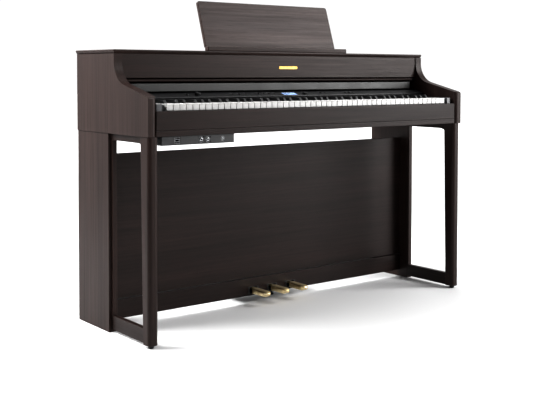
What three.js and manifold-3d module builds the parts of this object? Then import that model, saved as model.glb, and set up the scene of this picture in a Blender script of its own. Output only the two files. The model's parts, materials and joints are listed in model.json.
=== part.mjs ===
// A digital piano on its stand, in millimetres. +X is the player's right, +Y the rear, +Z up.
// The origin is on the floor, under the middle of the piano's plan.
import * as THREE from 'three';
import { mergeVertices } from 'three/addons/utils/BufferGeometryUtils.js';
import Module from 'manifold-3d';

const wasm = await Module();
wasm.setup();

// ---------------------------------------------------------------- driving dimensions
const WIDTH = 1377;
const DEPTH = 468;
const TOP_Z = 897.7;
const FIT = 0.3; // gap between pieces that touch
const RUN = 0.6; // gap beside pieces that slide or turn

const FRONT = -DEPTH / 2;
const REAR = DEPTH / 2;

const BOARD = 12.4; // thickness of the top board
const TOP_OVERHANG = { side: 1, front: 2, rear: 9 };

const SIDE = { outer: WIDTH / 2 - TOP_OVERHANG.side, thick: 30, bottom: 634 };
const SIDE_INNER = SIDE.outer - SIDE.thick;
const SIDE_REAR = REAR - TOP_OVERHANG.rear;
const UPPER_FRONT = -26; // front of the cabinet above the keys
const ARM = { slope: 13.6, tipZ: 752.4, fillet: 78, noseRadius: 6 };
const ROUND_EDGE = { radius: 14, spare: 1 }; // inner front edge of the arm
const INSIDE = SIDE_INNER - FIT; // half width of what fits between the side panels

const UPPER_PANEL = { front: -23, thick: 12, bottom: 808 };
const BADGE = { left: -32, right: 52, bottom: 838, top: 848, corner: 4, thick: 1.5 };
const FASCIA = { halfWidth: 625, front: -25, thick: 10, bottom: 764.3, top: 790 };
const CONTROL = { rear: -25.5, front: -68, rearZ: 759, frontZ: 746.5, underZ: 743.4 };
const KEY_BED = { top: 651, rear: SIDE_REAR - 10 };
const SLIP = { front: -230, thick: 9, top: 710 };
const BACK_BOARD = { thick: 5, inset: 3 };

const LID = { halfWidth: 637.7, length: 225, thick: 6, topZ: 802, railDepth: 22, panelThick: 4.5 };
const LID_RAIL = { under: 10, bottom: -12, lip: 1, setback: 8 }; // channel that carries each edge of the lid

const KEYS = { pitch: 23.6, whites: 52, gap: 1, top: 730.5, under: 711, front: -218.4, rear: 14 };
const BLACK = {
  width: 10.4, front: -168.4, nose: 5, noseDrop: 10, top: 742, under: 718, notch: 12.8,
  tail: -20, tailUnder: KEYS.top + 1.2,
};
const RAIL_FRONT = 2; // keys that share a rail are joined behind this line
const RAIL_LAP = 1; // how far a joined key runs into its rail
const SINGLE_REAR = RAIL_FRONT - 2.5;
const KEY_BLOCK = { fromKeys: 2.5, setback: 5, rise: 1 };

const LEG = { outer: 685, thick: 26, front: 16 };
const FRAME = { outer: 685, thick: 34, front: -232, inset: 10, railThick: 16, stile: 8 };
const FRAME_RAILS = { topUnder: 612.5, bottomUnder: 9, bottomTop: 54 };
const POST = { depthTop: 49, depthFoot: 35.5, nose: 12 };
const MODESTY = { front: 60, thick: 15, top: 564, bottom: 92 };
const PEDAL_BOARD = { front: 54, thick: 18, top: 90, bottom: 28 };
const PEDAL = { pitch: 85, width: 29, reach: 92, thick: 8, z: 52 };

const REST = { halfWidth: 294, height: 174.5, thick: 12, lean: 18.4, hingeY: 60, back: -4.5, corner: 8 };
const LEDGE = {
  halfWidth: 314, front: 3, rear: 24, height: 16, shelfHalf: 288, shelfRear: 42, shelfThick: 3,
};
const JACK_BOX = { left: -634, right: -368, front: -222, rear: -152, bottom: 606 };

// ---------------------------------------------------------------- materials
const FINISHES = {
  rosewood: { color: 0x4a3f3c, roughness: 0.5, metalness: 0 },
  blackPlastic: { color: 0x17171a, roughness: 0.45, metalness: 0 },
  fasciaGrey: { color: 0x3a3937, roughness: 0.5, metalness: 0 },
  whiteKey: { color: 0xe9e8e6, roughness: 0.3, metalness: 0 },
  blackKey: { color: 0x141416, roughness: 0.4, metalness: 0 },
  brass: { color: 0xb89a5a, roughness: 0.25, metalness: 1 },
  steel: { color: 0x8b8d90, roughness: 0.4, metalness: 1 },
  rubber: { color: 0x0e0e0e, roughness: 0.9, metalness: 0 },
  circuit: { color: 0x1d5a34, roughness: 0.6, metalness: 0 },
  display: { color: 0x9fd0ff, roughness: 0.15, metalness: 0 },
  hardboard: { color: 0x2b2624, roughness: 0.8, metalness: 0 },
};

const piano = new THREE.Group();

function addMesh(name, geometry, finish, parent = piano) {
  const mesh = new THREE.Mesh(geometry, new THREE.MeshStandardMaterial(FINISHES[finish]));
  mesh.name = name;
  parent.add(mesh);
  return mesh;
}

// ---------------------------------------------------------------- shape helpers
// A box between two corners.
function block(x0, x1, y0, y1, z0, z1) {
  const geometry = new THREE.BoxGeometry(x1 - x0, y1 - y0, z1 - z0);
  return geometry.translate((x0 + x1) / 2, (y0 + y1) / 2, (z0 + z1) / 2);
}

// A side outline in (y, z), carried from x0 to x1.
function alongX(shape, x0, x1, curveSegments = 12) {
  const geometry = new THREE.ExtrudeGeometry(shape, { depth: x1 - x0, bevelEnabled: false, curveSegments });
  // shape x -> world y, shape y -> world z, extrusion -> world x
  geometry.applyMatrix4(new THREE.Matrix4().set(0, 0, 1, x0, 1, 0, 0, 0, 0, 1, 0, 0, 0, 0, 0, 1));
  return geometry;
}

// A plan outline in (x, y), carried from z0 to z1.
function alongZ(shape, z0, z1, curveSegments = 12) {
  const geometry = new THREE.ExtrudeGeometry(shape, { depth: z1 - z0, bevelEnabled: false, curveSegments });
  return geometry.translate(0, 0, z0);
}

function outline(points) {
  return new THREE.Shape(points.map(([u, v]) => new THREE.Vector2(u, v)));
}

function roundedRect(x0, x1, y0, y1, r) {
  const shape = new THREE.Shape();
  shape.moveTo(x0 + r, y0);
  shape.lineTo(x1 - r, y0);
  shape.absarc(x1 - r, y0 + r, r, -Math.PI / 2, 0, false);
  shape.lineTo(x1, y1 - r);
  shape.absarc(x1 - r, y1 - r, r, 0, Math.PI / 2, false);
  shape.lineTo(x0 + r, y1);
  shape.absarc(x0 + r, y1 - r, r, Math.PI / 2, Math.PI, false);
  shape.lineTo(x0, y0 + r);
  shape.absarc(x0 + r, y0 + r, r, Math.PI, Math.PI * 1.5, false);
  return shape;
}

// A cylinder standing along +Z from z0 to z1.
function post(x, y, z0, z1, r, sides = 20) {
  const geometry = new THREE.CylinderGeometry(r, r, z1 - z0, sides);
  return geometry.rotateX(Math.PI / 2).translate(x, y, (z0 + z1) / 2);
}

function toSolid(geometry) {
  const bare = geometry.clone();
  bare.deleteAttribute('normal');
  bare.deleteAttribute('uv');
  const merged = mergeVertices(bare, 1e-4);
  return new wasm.Manifold(new wasm.Mesh({
    numProp: 3,
    vertProperties: new Float32Array(merged.attributes.position.array),
    triVerts: new Uint32Array(merged.index.array),
  }));
}

function fromSolid(solid) {
  const { vertProperties, triVerts, numProp } = solid.getMesh();
  const positions = new Float32Array((vertProperties.length / numProp) * 3);
  for (let i = 0; i < positions.length / 3; i += 1) {
    positions.set(vertProperties.subarray(i * numProp, i * numProp + 3), i * 3);
  }
  const geometry = new THREE.BufferGeometry();
  geometry.setAttribute('position', new THREE.BufferAttribute(positions, 3));
  geometry.setIndex(new THREE.BufferAttribute(new Uint32Array(triVerts), 1));
  geometry.computeVertexNormals();
  return geometry;
}

function join(...geometries) {
  return fromSolid(geometries.map(toSolid).reduce((all, next) => all.add(next)));
}

function cut(body, ...tools) {
  return fromSolid(tools.map(toSolid).reduce((rest, tool) => rest.subtract(tool), toSolid(body)));
}

const radians = (degrees) => (degrees * Math.PI) / 180;
const armDrop = Math.tan(radians(ARM.slope));

// Height of the sloping line of the arms' tops at depth y.
const armTop = (y) => ARM.tipZ + (y - FRONT) * armDrop;

// ---------------------------------------------------------------- cabinet
// Side outline: up the back, along the top, down the upper front, a hollow curve, then the arm's slope.
function sideOutline() {
  const turn = radians(90 - ARM.slope);
  const tangent = ARM.fillet * Math.tan(turn / 2);
  const cornerZ = armTop(UPPER_FRONT);
  const centre = { y: UPPER_FRONT - ARM.fillet, z: cornerZ + tangent };
  const shape = new THREE.Shape();
  shape.moveTo(SIDE_REAR, SIDE.bottom);
  shape.lineTo(SIDE_REAR, TOP_Z - BOARD - FIT);
  shape.lineTo(UPPER_FRONT, TOP_Z - BOARD - FIT);
  shape.lineTo(UPPER_FRONT, centre.z);
  shape.absarc(centre.y, centre.z, ARM.fillet, 0, -turn, true);
  shape.lineTo(FRONT + ARM.noseRadius, armTop(FRONT + ARM.noseRadius));
  shape.quadraticCurveTo(FRONT, ARM.tipZ, FRONT, ARM.tipZ - ARM.noseRadius);
  shape.lineTo(FRONT, SIDE.bottom);
  return shape;
}

// Side panel: its outline carried across, with the inner front edge of the arm rounded.
function sidePanel(sign) {
  const inner = sign * SIDE_INNER;
  const outer = sign * (SIDE.outer + ROUND_EDGE.spare);
  const r = ROUND_EDGE.radius;
  const rear = SIDE_REAR + ROUND_EDGE.spare;
  const [start, end] = sign > 0 ? [Math.PI, Math.PI * 1.5] : [0, -Math.PI / 2];
  const plan = new THREE.Shape();
  plan.moveTo(outer, rear);
  plan.lineTo(inner, rear);
  plan.lineTo(inner, FRONT + r);
  plan.absarc(inner + sign * r, FRONT + r, r, start, end, sign < 0);
  plan.lineTo(outer, FRONT);
  const [x0, x1] = [inner - sign * ROUND_EDGE.spare, sign * SIDE.outer].sort((a, b) => a - b);
  const board = toSolid(alongX(sideOutline(), x0, x1));
  return fromSolid(board.intersect(toSolid(alongZ(plan, SIDE.bottom - ROUND_EDGE.spare, TOP_Z, 6))));
}

function buildCabinet() {
  const half = WIDTH / 2;
  addMesh('top_board',
    block(-half, half, UPPER_FRONT - TOP_OVERHANG.front, REAR, TOP_Z - BOARD, TOP_Z), 'rosewood');
  addMesh('side_panel_left', sidePanel(-1), 'rosewood');
  addMesh('side_panel_right', sidePanel(1), 'rosewood');
  const panelRear = UPPER_PANEL.front + UPPER_PANEL.thick;
  const underTop = TOP_Z - BOARD - FIT;
  addMesh('upper_front_panel',
    block(-INSIDE, INSIDE, UPPER_PANEL.front, panelRear, UPPER_PANEL.bottom, underTop), 'rosewood');
  const { halfWidth, front, thick, bottom, top } = FASCIA;
  addMesh('key_well_fascia', block(-halfWidth, halfWidth, front, front + thick, bottom, top), 'fasciaGrey');
  const backFront = SIDE_REAR - BACK_BOARD.inset - BACK_BOARD.thick;
  addMesh('back_board',
    block(-INSIDE, INSIDE, backFront, backFront + BACK_BOARD.thick, SIDE.bottom, underTop), 'hardboard');
  addMesh('key_slip',
    block(-INSIDE, INSIDE, SLIP.front, SLIP.front + SLIP.thick, KEY_BED.top + FIT, SLIP.top), 'rosewood');
  const badgeOutline = roundedRect(BADGE.left, BADGE.right, BADGE.bottom, BADGE.top, BADGE.corner);
  const badge = alongZ(badgeOutline, 0, BADGE.thick, 6);
  badge.rotateX(Math.PI / 2).translate(0, UPPER_PANEL.front - FIT, 0);
  addMesh('badge_plate', badge, 'brass');
}

const SPEAKER = {
  x: 430, y: 120, hole: 62, rim: 68, flange: 4, cone: 58, magnet: 38, basket: 34, height: 54,
};

function buildKeyBed() {
  const bed = block(-INSIDE, INSIDE, SLIP.front, KEY_BED.rear, SIDE.bottom, KEY_BED.top);
  const holes = [-1, 1].map((sign) =>
    post(sign * SPEAKER.x, SPEAKER.y, SIDE.bottom - 5, KEY_BED.top + 5, SPEAKER.hole, 28));
  addMesh('key_bed', cut(bed, ...holes), 'rosewood');
}

// A driver seen from its section: flange, tapering basket and magnet, on the key bed over its hole.
function buildSpeakers() {
  const z = KEY_BED.top + FIT;
  const { rim, flange, cone, magnet, basket, height } = SPEAKER;
  const section = [
    [0, 0], [rim, 0], [rim, flange], [cone, flange], [magnet, basket], [magnet, height], [0, height],
  ];
  for (const [name, sign] of [['left', -1], ['right', 1]]) {
    const driver = new THREE.LatheGeometry(section.map(([r, h]) => new THREE.Vector2(r, h)), 28);
    driver.rotateX(Math.PI / 2).translate(sign * SPEAKER.x, SPEAKER.y, z);
    addMesh(`speaker_${name}`, driver, 'blackPlastic');
  }
}

// ---------------------------------------------------------------- lid and its rails
// The lid lies on the slope of the arms. Its group's +Y runs up the slope, +Z out of the lid's face.
function onLidSlope() {
  const group = new THREE.Group();
  group.position.set(0, UPPER_FRONT, LID.topZ);
  group.rotation.x = radians(ARM.slope);
  piano.add(group);
  return group;
}

function buildLid() {
  const slope = onLidSlope();
  const w = LID.halfWidth;
  addMesh('lid_front_rail', block(-w, w, 0, LID.railDepth, -LID.thick, 0), 'rosewood', slope);
  addMesh('lid_panel',
    block(-w, w, LID.railDepth + FIT, LID.length, -LID.panelThick, 0), 'blackPlastic', slope);
  const section = (sign) => {
    const inner = sign * (w - LID_RAIL.under);
    const beside = sign * (w + RUN);
    const outer = sign * INSIDE;
    const floor = -LID.thick - RUN;
    const points = [
      [inner, LID_RAIL.bottom], [outer, LID_RAIL.bottom], [outer, LID_RAIL.lip],
      [beside, LID_RAIL.lip], [beside, floor], [inner, floor],
    ];
    return outline(sign > 0 ? points : points.reverse());
  };
  const railLength = LID.length - LID_RAIL.setback;
  for (const [name, sign] of [['left', -1], ['right', 1]]) {
    // section in (x, z), carried up the slope
    const rail = new THREE.ExtrudeGeometry(section(sign), { depth: railLength, bevelEnabled: false });
    rail.applyMatrix4(new THREE.Matrix4().set(1, 0, 0, 0, 0, 0, -1, LID.length, 0, 1, 0, 0, 0, 0, 0, 1));
    addMesh(`lid_rail_${name}`, rail, 'blackPlastic', slope);
  }
}

// ---------------------------------------------------------------- keys
// White key i spans pitch i to i + 1 from the bass end. The bass key is A.
const OCTAVE_LETTERS = 'ABCDEFG';
const letterOf = (i) => OCTAVE_LETTERS[i % 7];
const keyLeft = (i) => (i - KEYS.whites / 2) * KEYS.pitch;
// A black key stands near the boundary above these whites, a little off it.
const BLACK_AFTER = { A: 3, C: -2, D: 2, F: -3, G: 0 };
const blackCentre = (i) => keyLeft(i + 1) + BLACK_AFTER[letterOf(i)];
const hasBlackAfter = (i) => i >= 0 && i < KEYS.whites - 1 && letterOf(i) in BLACK_AFTER;

// A white key: full width in front, then a waist between its black neighbours.
function whiteFinger(i) {
  const left = keyLeft(i) + KEYS.gap / 2;
  const right = keyLeft(i + 1) - KEYS.gap / 2;
  const waistLeft = hasBlackAfter(i - 1) ? blackCentre(i - 1) + BLACK.notch / 2 : left;
  const waistRight = hasBlackAfter(i) ? blackCentre(i) - BLACK.notch / 2 : right;
  const shoulder = BLACK.front - KEYS.gap;
  const rear = isSingle(i) ? SINGLE_REAR : RAIL_FRONT;
  const points = [[waistLeft, rear]];
  if (waistLeft > left) points.push([waistLeft, shoulder], [left, shoulder]);
  points.push([left, KEYS.front], [right, KEYS.front]);
  if (waistRight < right) points.push([right, shoulder], [waistRight, shoulder]);
  points.push([waistRight, rear]);
  return alongZ(outline(points), KEYS.under, KEYS.top);
}

// A black key: sloping nose, flat top, and a thin tail over the whites that carries its hinge.
function blackFinger(i) {
  const x = blackCentre(i);
  const rear = isSingle(i) ? SINGLE_REAR : RAIL_FRONT;
  const side = outline([
    [BLACK.front, BLACK.under], [BLACK.tail, BLACK.under], [BLACK.tail, BLACK.tailUnder],
    [rear, BLACK.tailUnder], [rear, BLACK.top], [BLACK.front + BLACK.nose, BLACK.top],
    [BLACK.front, BLACK.top - BLACK.noseDrop],
  ]);
  return alongX(side, x - BLACK.width / 2, x + BLACK.width / 2);
}

// The keys from the middle F to B are single pieces. All the others share a rail along their rear,
// white with white and black with black.
const SINGLE = { first: 26, last: 29 };
const isSingle = (i) => i >= SINGLE.first && i <= SINGLE.last;
const upTo = (count) => [...Array(count).keys()];

function whiteRail(x0, x1) {
  return block(x0, x1, RAIL_FRONT - RAIL_LAP, KEYS.rear, KEYS.under, KEYS.top);
}

function buildKeys() {
  const joined = upTo(KEYS.whites).filter((i) => !isSingle(i));
  const fullWidth = [keyLeft(0) + KEYS.gap / 2, keyLeft(KEYS.whites) - KEYS.gap / 2];
  addMesh('white_keys', join(whiteRail(...fullWidth), ...joined.map(whiteFinger)), 'whiteKey');
  const blacks = joined.filter(hasBlackAfter);
  const blackRail = block(...fullWidth, RAIL_FRONT - RAIL_LAP, KEYS.rear, BLACK.tailUnder, BLACK.top);
  addMesh('black_keys', join(blackRail, ...blacks.map(blackFinger)), 'blackKey');
  for (const i of upTo(KEYS.whites).filter(isSingle)) {
    addMesh(`key_${letterOf(i)}`, whiteFinger(i), 'whiteKey');
    if (hasBlackAfter(i)) addMesh(`key_${letterOf(i)}_sharp`, blackFinger(i), 'blackKey');
  }
}

// Steel tray under the keys, with the raised rail at the rear that carries the pivots.
const CHASSIS = { rear: 40, sheet: 4, backWall: 6, step: -8, belowKeys: 5 };

function buildKeyChassis() {
  const floor = KEY_BED.top + FIT;
  const half = (KEYS.whites / 2) * KEYS.pitch;
  const front = SLIP.front + SLIP.thick + FIT;
  const pivotTop = KEYS.under - CHASSIS.belowKeys;
  const wall = CHASSIS.rear - CHASSIS.backWall;
  const tray = outline([
    [front, floor], [CHASSIS.rear, floor], [CHASSIS.rear, KEYS.top], [wall, KEYS.top], [wall, pivotTop],
    [CHASSIS.step, pivotTop], [CHASSIS.step, floor + CHASSIS.sheet], [front, floor + CHASSIS.sheet],
  ]);
  addMesh('key_chassis', alongX(tray, -half, half), 'steel');
}

function buildKeyBlocks() {
  const inner = (KEYS.whites / 2) * KEYS.pitch + KEY_BLOCK.fromKeys;
  const front = SLIP.front + SLIP.thick + FIT + KEY_BLOCK.setback;
  for (const [name, sign] of [['left', -1], ['right', 1]]) {
    const [x0, x1] = [sign * inner, sign * INSIDE].sort((a, b) => a - b);
    const body = block(x0, x1, front, CONTROL.front - FIT, KEY_BED.top + FIT, KEYS.top + KEY_BLOCK.rise);
    addMesh(`key_block_${name}`, body, 'blackPlastic');
  }
}

// ---------------------------------------------------------------- control panel
// Its group's +Y runs up the panel's face and +Z out of it, with the origin in the middle of the face.
const panelTilt = Math.atan2(CONTROL.rearZ - CONTROL.frontZ, CONTROL.rear - CONTROL.front);
const panelMiddle = { y: (CONTROL.rear + CONTROL.front) / 2, z: (CONTROL.rearZ + CONTROL.frontZ) / 2 };

function onPanel() {
  const group = new THREE.Group();
  group.position.set(0, panelMiddle.y, panelMiddle.z);
  group.rotation.x = panelTilt;
  piano.add(group);
  return group;
}

function placedOnPanel(geometry) {
  return geometry.clone().rotateX(panelTilt).translate(0, panelMiddle.y, panelMiddle.z);
}

const VOLUME = { x: -392, y: -4, r: 10, height: 9 };
const SELECTOR = { x: 66, y: -4, r: 10, height: 4.5 };
const DISPLAY = { left: -36, right: 24, near: -17, far: 7, pocket: 2.4, under: -2.1, top: -0.2 };
const POCKET = { depth: 4.6, play: 0.5, above: 5 }; // round pockets under the knobs and buttons
const BUTTONS = [
  { name: 'power_button', x: -430, r: 5 },
  { name: 'tone_button', x: -220, r: 4.5 },
  { name: 'song_button', x: -138, r: 4.5 },
  { name: 'metronome_button', x: -94, r: 4.5 },
  { name: 'record_button', x: 142, r: 4.5 },
  { name: 'play_button', x: 280, r: 4.5 },
];
const BUTTON = { height: 2.6, rootDepth: 2.2 };

function buildControlPanel() {
  const section = outline([
    [CONTROL.front, CONTROL.underZ], [CONTROL.rear, CONTROL.underZ],
    [CONTROL.rear, CONTROL.rearZ], [CONTROL.front, CONTROL.frontZ],
  ]);
  const panel = alongX(section, -INSIDE, INSIDE);
  const rounds = [...BUTTONS, VOLUME, SELECTOR].map(({ x, y = 0, r }) =>
    placedOnPanel(post(x, y, -POCKET.depth, POCKET.above, r + POCKET.play, 24)));
  const { left, right, near, far, pocket, under, top } = DISPLAY;
  const window = placedOnPanel(block(left, right, near, far, -pocket, POCKET.above));
  addMesh('control_panel', cut(panel, ...rounds, window), 'blackPlastic');

  const face = onPanel();
  addMesh('display_window',
    block(left + FIT, right - FIT, near + FIT, far - FIT, under, top), 'display', face);
  const root = FIT - POCKET.depth;
  addMesh('volume_knob', post(VOLUME.x, VOLUME.y, root, VOLUME.height, VOLUME.r, 24), 'blackPlastic', face);
  addMesh('selector_dial',
    post(SELECTOR.x, SELECTOR.y, root, SELECTOR.height, SELECTOR.r, 24), 'blackPlastic', face);
  for (const { name, x, r } of BUTTONS) {
    addMesh(name, post(x, 0, -BUTTON.rootDepth, BUTTON.height, r, 20), 'blackPlastic', face);
  }
}

// ---------------------------------------------------------------- music rest
// The board turns on a hinge base near its foot. A steel stay, hung half way up its back, props it.
const HINGE = {
  y: REST.hingeY, z: TOP_Z + 4.6, r: 3, halfWidth: 30, leaf: 14, ear: 15.4, earHalf: 5, earTop: 3,
};
const STAY = { arm: 84, halfWidth: 35, thick: 3, heel: 3 };
const STRAP = { from: -14, to: -4.9, thick: 1.5 };

function buildMusicRest() {
  // local frame: origin on the hinge axis, +Z up the board, +Y to its back
  const leaning = new THREE.Group();
  leaning.position.set(0, HINGE.y, HINGE.z);
  leaning.rotation.x = -radians(REST.lean);
  piano.add(leaning);
  const plan = roundedRect(-REST.halfWidth, REST.halfWidth, HINGE.r + 1, REST.height, REST.corner);
  const board = new THREE.ExtrudeGeometry(plan, { depth: REST.thick, bevelEnabled: false, curveSegments: 5 });
  board.rotateX(Math.PI / 2).translate(0, REST.back, 0);
  const knuckle = new THREE.CylinderGeometry(HINGE.r, HINGE.r, 2 * HINGE.halfWidth, 16).rotateZ(Math.PI / 2);
  const leaf = block(-HINGE.halfWidth, HINGE.halfWidth, REST.back - 1, 1, 0, HINGE.leaf);
  addMesh('music_rest_board', join(board, leaf, knuckle), 'rosewood', leaning);

  const top = TOP_Z + FIT;
  const { halfWidth, front, rear, height, shelfHalf, shelfRear, shelfThick } = LEDGE;
  const lip = block(-halfWidth, halfWidth, front, rear, top, top + height);
  const shelf = block(-shelfHalf, shelfHalf, rear - 1, shelfRear, top, top + shelfThick);
  addMesh('music_rest_ledge', join(lip, shelf), 'rosewood');
  const earInner = HINGE.halfWidth + RUN;
  const earOuter = earInner + HINGE.ear;
  const ears = [-1, 1].map((sign) => {
    const [x0, x1] = [sign * earInner, sign * earOuter].sort((a, b) => a - b);
    return block(x0, x1, HINGE.y - HINGE.earHalf, HINGE.y + HINGE.earHalf, top, HINGE.z + HINGE.earTop);
  });
  const strap = block(-earOuter, earOuter, HINGE.y + STRAP.from, HINGE.y + STRAP.to, top, top + STRAP.thick);
  addMesh('music_rest_hinge', join(strap, ...ears), 'steel');

  // the stay reaches from its pivot back down to the top board: an isosceles prop
  const lean = radians(REST.lean);
  const prop = new THREE.Group();
  prop.position.set(0, HINGE.y + STAY.arm * Math.sin(lean), HINGE.z + STAY.arm * Math.cos(lean));
  prop.rotation.x = lean;
  piano.add(prop);
  const half = STAY.thick / 2;
  const plate = block(-STAY.halfWidth, STAY.halfWidth, -half, half, -STAY.arm - STAY.heel, -half);
  addMesh('music_rest_stay', plate, 'steel', prop);
}

// ---------------------------------------------------------------- electronics
const CIRCUIT = {
  left: -260, right: 60, front: 90, rear: 190, lift: 12, thick: 1.6, corner: 10, standoff: 4,
};

function buildElectronics() {
  const { left, right, front, rear, lift, thick, corner, standoff } = CIRCUIT;
  const z = KEY_BED.top + lift;
  const board = block(left, right, front, rear, z, z + thick);
  const standoffs = [left + corner, right - corner].flatMap((x) =>
    [front + corner, rear - corner].map((y) => post(x, y, KEY_BED.top + FIT, z + thick / 2, standoff, 12)));
  addMesh('main_circuit_board', join(board, ...standoffs), 'circuit');
}

const SOCKET = { depth: 23, recess: 1, halfHeight: 9, bore: 20, radius: 3.4 };
const SOCKETS = [
  { name: 'usb_socket', x: -579, halfWidth: 11, slot: { width: 13, height: 6.4 } },
  { name: 'phones_socket_left', x: -492, halfWidth: 10 },
  { name: 'phones_socket_right', x: -468, halfWidth: 10 },
];

// The hole of a socket: a flat slot, or a round one.
function socketHole(x, z, slot) {
  const { front } = JACK_BOX;
  if (slot) {
    const [w, h] = [slot.width / 2, slot.height / 2];
    return block(x - w, x + w, front - 5, front + SOCKET.bore, z - h, z + h);
  }
  const length = SOCKET.bore + 5;
  const round = new THREE.CylinderGeometry(SOCKET.radius, SOCKET.radius, length, 16);
  return round.translate(x, front - 5 + length / 2, z);
}

// Box under the key bed. Each socket is a block in a pocket of its front, with one hole in its face.
function buildJackBox() {
  const top = SIDE.bottom - FIT;
  const { left, right, front, rear, bottom } = JACK_BOX;
  const middle = (top + bottom) / 2;
  const tall = SOCKET.halfHeight;
  const deep = front + SOCKET.recess + SOCKET.depth;
  const shell = block(left, right, front, rear, bottom, top);
  const pockets = SOCKETS.map(({ x, halfWidth }) => block(x - halfWidth - FIT, x + halfWidth + FIT,
    front - 5, deep + FIT, middle - tall - FIT, middle + tall + FIT));
  addMesh('jack_box', cut(shell, ...pockets), 'blackPlastic');
  for (const { name, x, halfWidth, slot } of SOCKETS) {
    const face = front + SOCKET.recess;
    const body = block(x - halfWidth, x + halfWidth, face, deep, middle - tall, middle + tall);
    addMesh(name, cut(body, socketHole(x, middle, slot)), 'blackPlastic');
  }
}

// Power inlet block under the key bed, its socket facing the rear.
const INLET = { x: -200, half: 15, front: 120, rear: 150, tall: 20, hole: 18 };

function buildPowerInlet() {
  const top = SIDE.bottom - FIT;
  const { x, half, front, rear, tall, hole } = INLET;
  const body = block(x - half, x + half, front, rear, top - tall, top);
  const bore = new THREE.CylinderGeometry(SOCKET.radius, SOCKET.radius, hole + 5, 16);
  bore.translate(x, rear - hole + (hole + 5) / 2, top - tall / 2);
  addMesh('power_inlet', cut(body, bore), 'blackPlastic');
}

// ---------------------------------------------------------------- stand
const FRAME_CURVE = { rise: 20, run: 36 }; // the hollow curve between post and top rail
const FRONT_FOOT = { fromFront: 18, r: 9 };

// Rails of the leg frame, seen from the side: a ring round the opening.
function railSide(rearEnd) {
  const { topUnder, bottomUnder, bottomTop } = FRAME_RAILS;
  const ring = outline([
    [FRAME.front, bottomUnder], [rearEnd, bottomUnder],
    [rearEnd, SIDE.bottom - FIT], [FRAME.front, SIDE.bottom - FIT],
  ]);
  const postTop = FRAME.front + POST.depthTop;
  const stile = rearEnd - FRAME.stile;
  const hole = new THREE.Path();
  hole.moveTo(FRAME.front + POST.depthFoot, bottomTop);
  hole.lineTo(postTop, topUnder - FRAME_CURVE.rise);
  hole.quadraticCurveTo(postTop, topUnder, postTop + FRAME_CURVE.run, topUnder);
  hole.lineTo(stile, topUnder);
  hole.lineTo(stile, bottomTop);
  ring.holes.push(hole);
  return ring;
}

// Side of the post: it tapers from top to foot.
function postSide() {
  const { front } = FRAME;
  const top = SIDE.bottom - FIT;
  return outline([
    [front, FRAME_RAILS.bottomUnder], [front + POST.depthFoot, FRAME_RAILS.bottomUnder],
    [front + POST.depthTop, top], [front, top],
  ]);
}

// Plan of the post, with both front edges rounded.
function postPlan(x0, x1) {
  const { front } = FRAME;
  const rear = front + 2 * POST.depthTop;
  const r = POST.nose;
  const shape = new THREE.Shape();
  shape.moveTo(x0, rear);
  shape.lineTo(x0, front + r);
  shape.absarc(x0 + r, front + r, r, Math.PI, Math.PI * 1.5, false);
  shape.lineTo(x1 - r, front);
  shape.absarc(x1 - r, front + r, r, -Math.PI / 2, 0, false);
  shape.lineTo(x1, rear);
  return shape;
}

// Leg frame: a post with a round nose, and thinner rails behind it, set in from the post's outer face.
function buildLegFrame(name, sign) {
  const { outer, thick, inset, railThick, front } = FRAME;
  const [x0, x1] = [sign * outer, sign * (outer - thick)].sort((a, b) => a - b);
  const [rail0, rail1] = [sign * (outer - inset), sign * (outer - inset - railThick)].sort((a, b) => a - b);
  const rearEnd = LEG.front - FIT;
  const behindNose = block(rail0, rail1, front + POST.depthFoot / 2, rearEnd + 1, 0, SIDE.bottom);
  const ring = toSolid(alongX(railSide(rearEnd), rail0, rail1, 6)).intersect(toSolid(behindNose));
  const nose = toSolid(alongZ(postPlan(x0, x1), 0, SIDE.bottom, 6));
  const taperedPost = toSolid(alongX(postSide(), x0, x1)).intersect(nose);
  addMesh(`leg_frame_${name}`, fromSolid(taperedPost.add(ring)), 'rosewood');
}

const BETWEEN_LEGS = LEG.outer - LEG.thick - FIT; // half width of what fits between the leg boards

function buildStand() {
  const top = SIDE.bottom - FIT;
  for (const [name, sign] of [['left', -1], ['right', 1]]) {
    const [x0, x1] = [sign * LEG.outer, sign * (LEG.outer - LEG.thick)].sort((a, b) => a - b);
    addMesh(`leg_board_${name}`, block(x0, x1, LEG.front, SIDE_REAR, 0, top), 'rosewood');
    buildLegFrame(name, sign);
    const footX = sign * (FRAME.outer - FRAME.thick / 2);
    const footY = FRAME.front + FRONT_FOOT.fromFront;
    const foot = post(footX, footY, 0, FRAME_RAILS.bottomUnder - FIT, FRONT_FOOT.r, 16);
    addMesh(`front_foot_${name}`, foot, 'rubber');
  }
  const { front, thick, bottom } = MODESTY;
  addMesh('modesty_panel',
    block(-BETWEEN_LEGS, BETWEEN_LEGS, front, front + thick, bottom, MODESTY.top), 'rosewood');
}

// ---------------------------------------------------------------- pedals
const SLOT = { halfWidth: 17, bottom: 34, top: 58 };
const PEDAL_PIVOT = { y: 150, behind: 6, halfWidth: 7 };
const TOE = { neck: 8, radius: 15, start: 24, centre: 15.5, turn: 0.4 };
const SKIRT = { depth: 12, setback: 8 }; // the sides of a pedal turn down in front of the board
const CASE = { halfWidth: 140, depth: 100, bottom: 26, top: 84, wall: 10, rearWall: 8, sheet: 4 };
// levelling screw under the pedal case: a disc on a stem that runs up through a hole in its sheet
const ADJUSTER = { x: PEDAL.pitch / 2, y: 122, disc: 14, rim: 7, neck: 9, stem: 5, stemTop: 40 };

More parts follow.
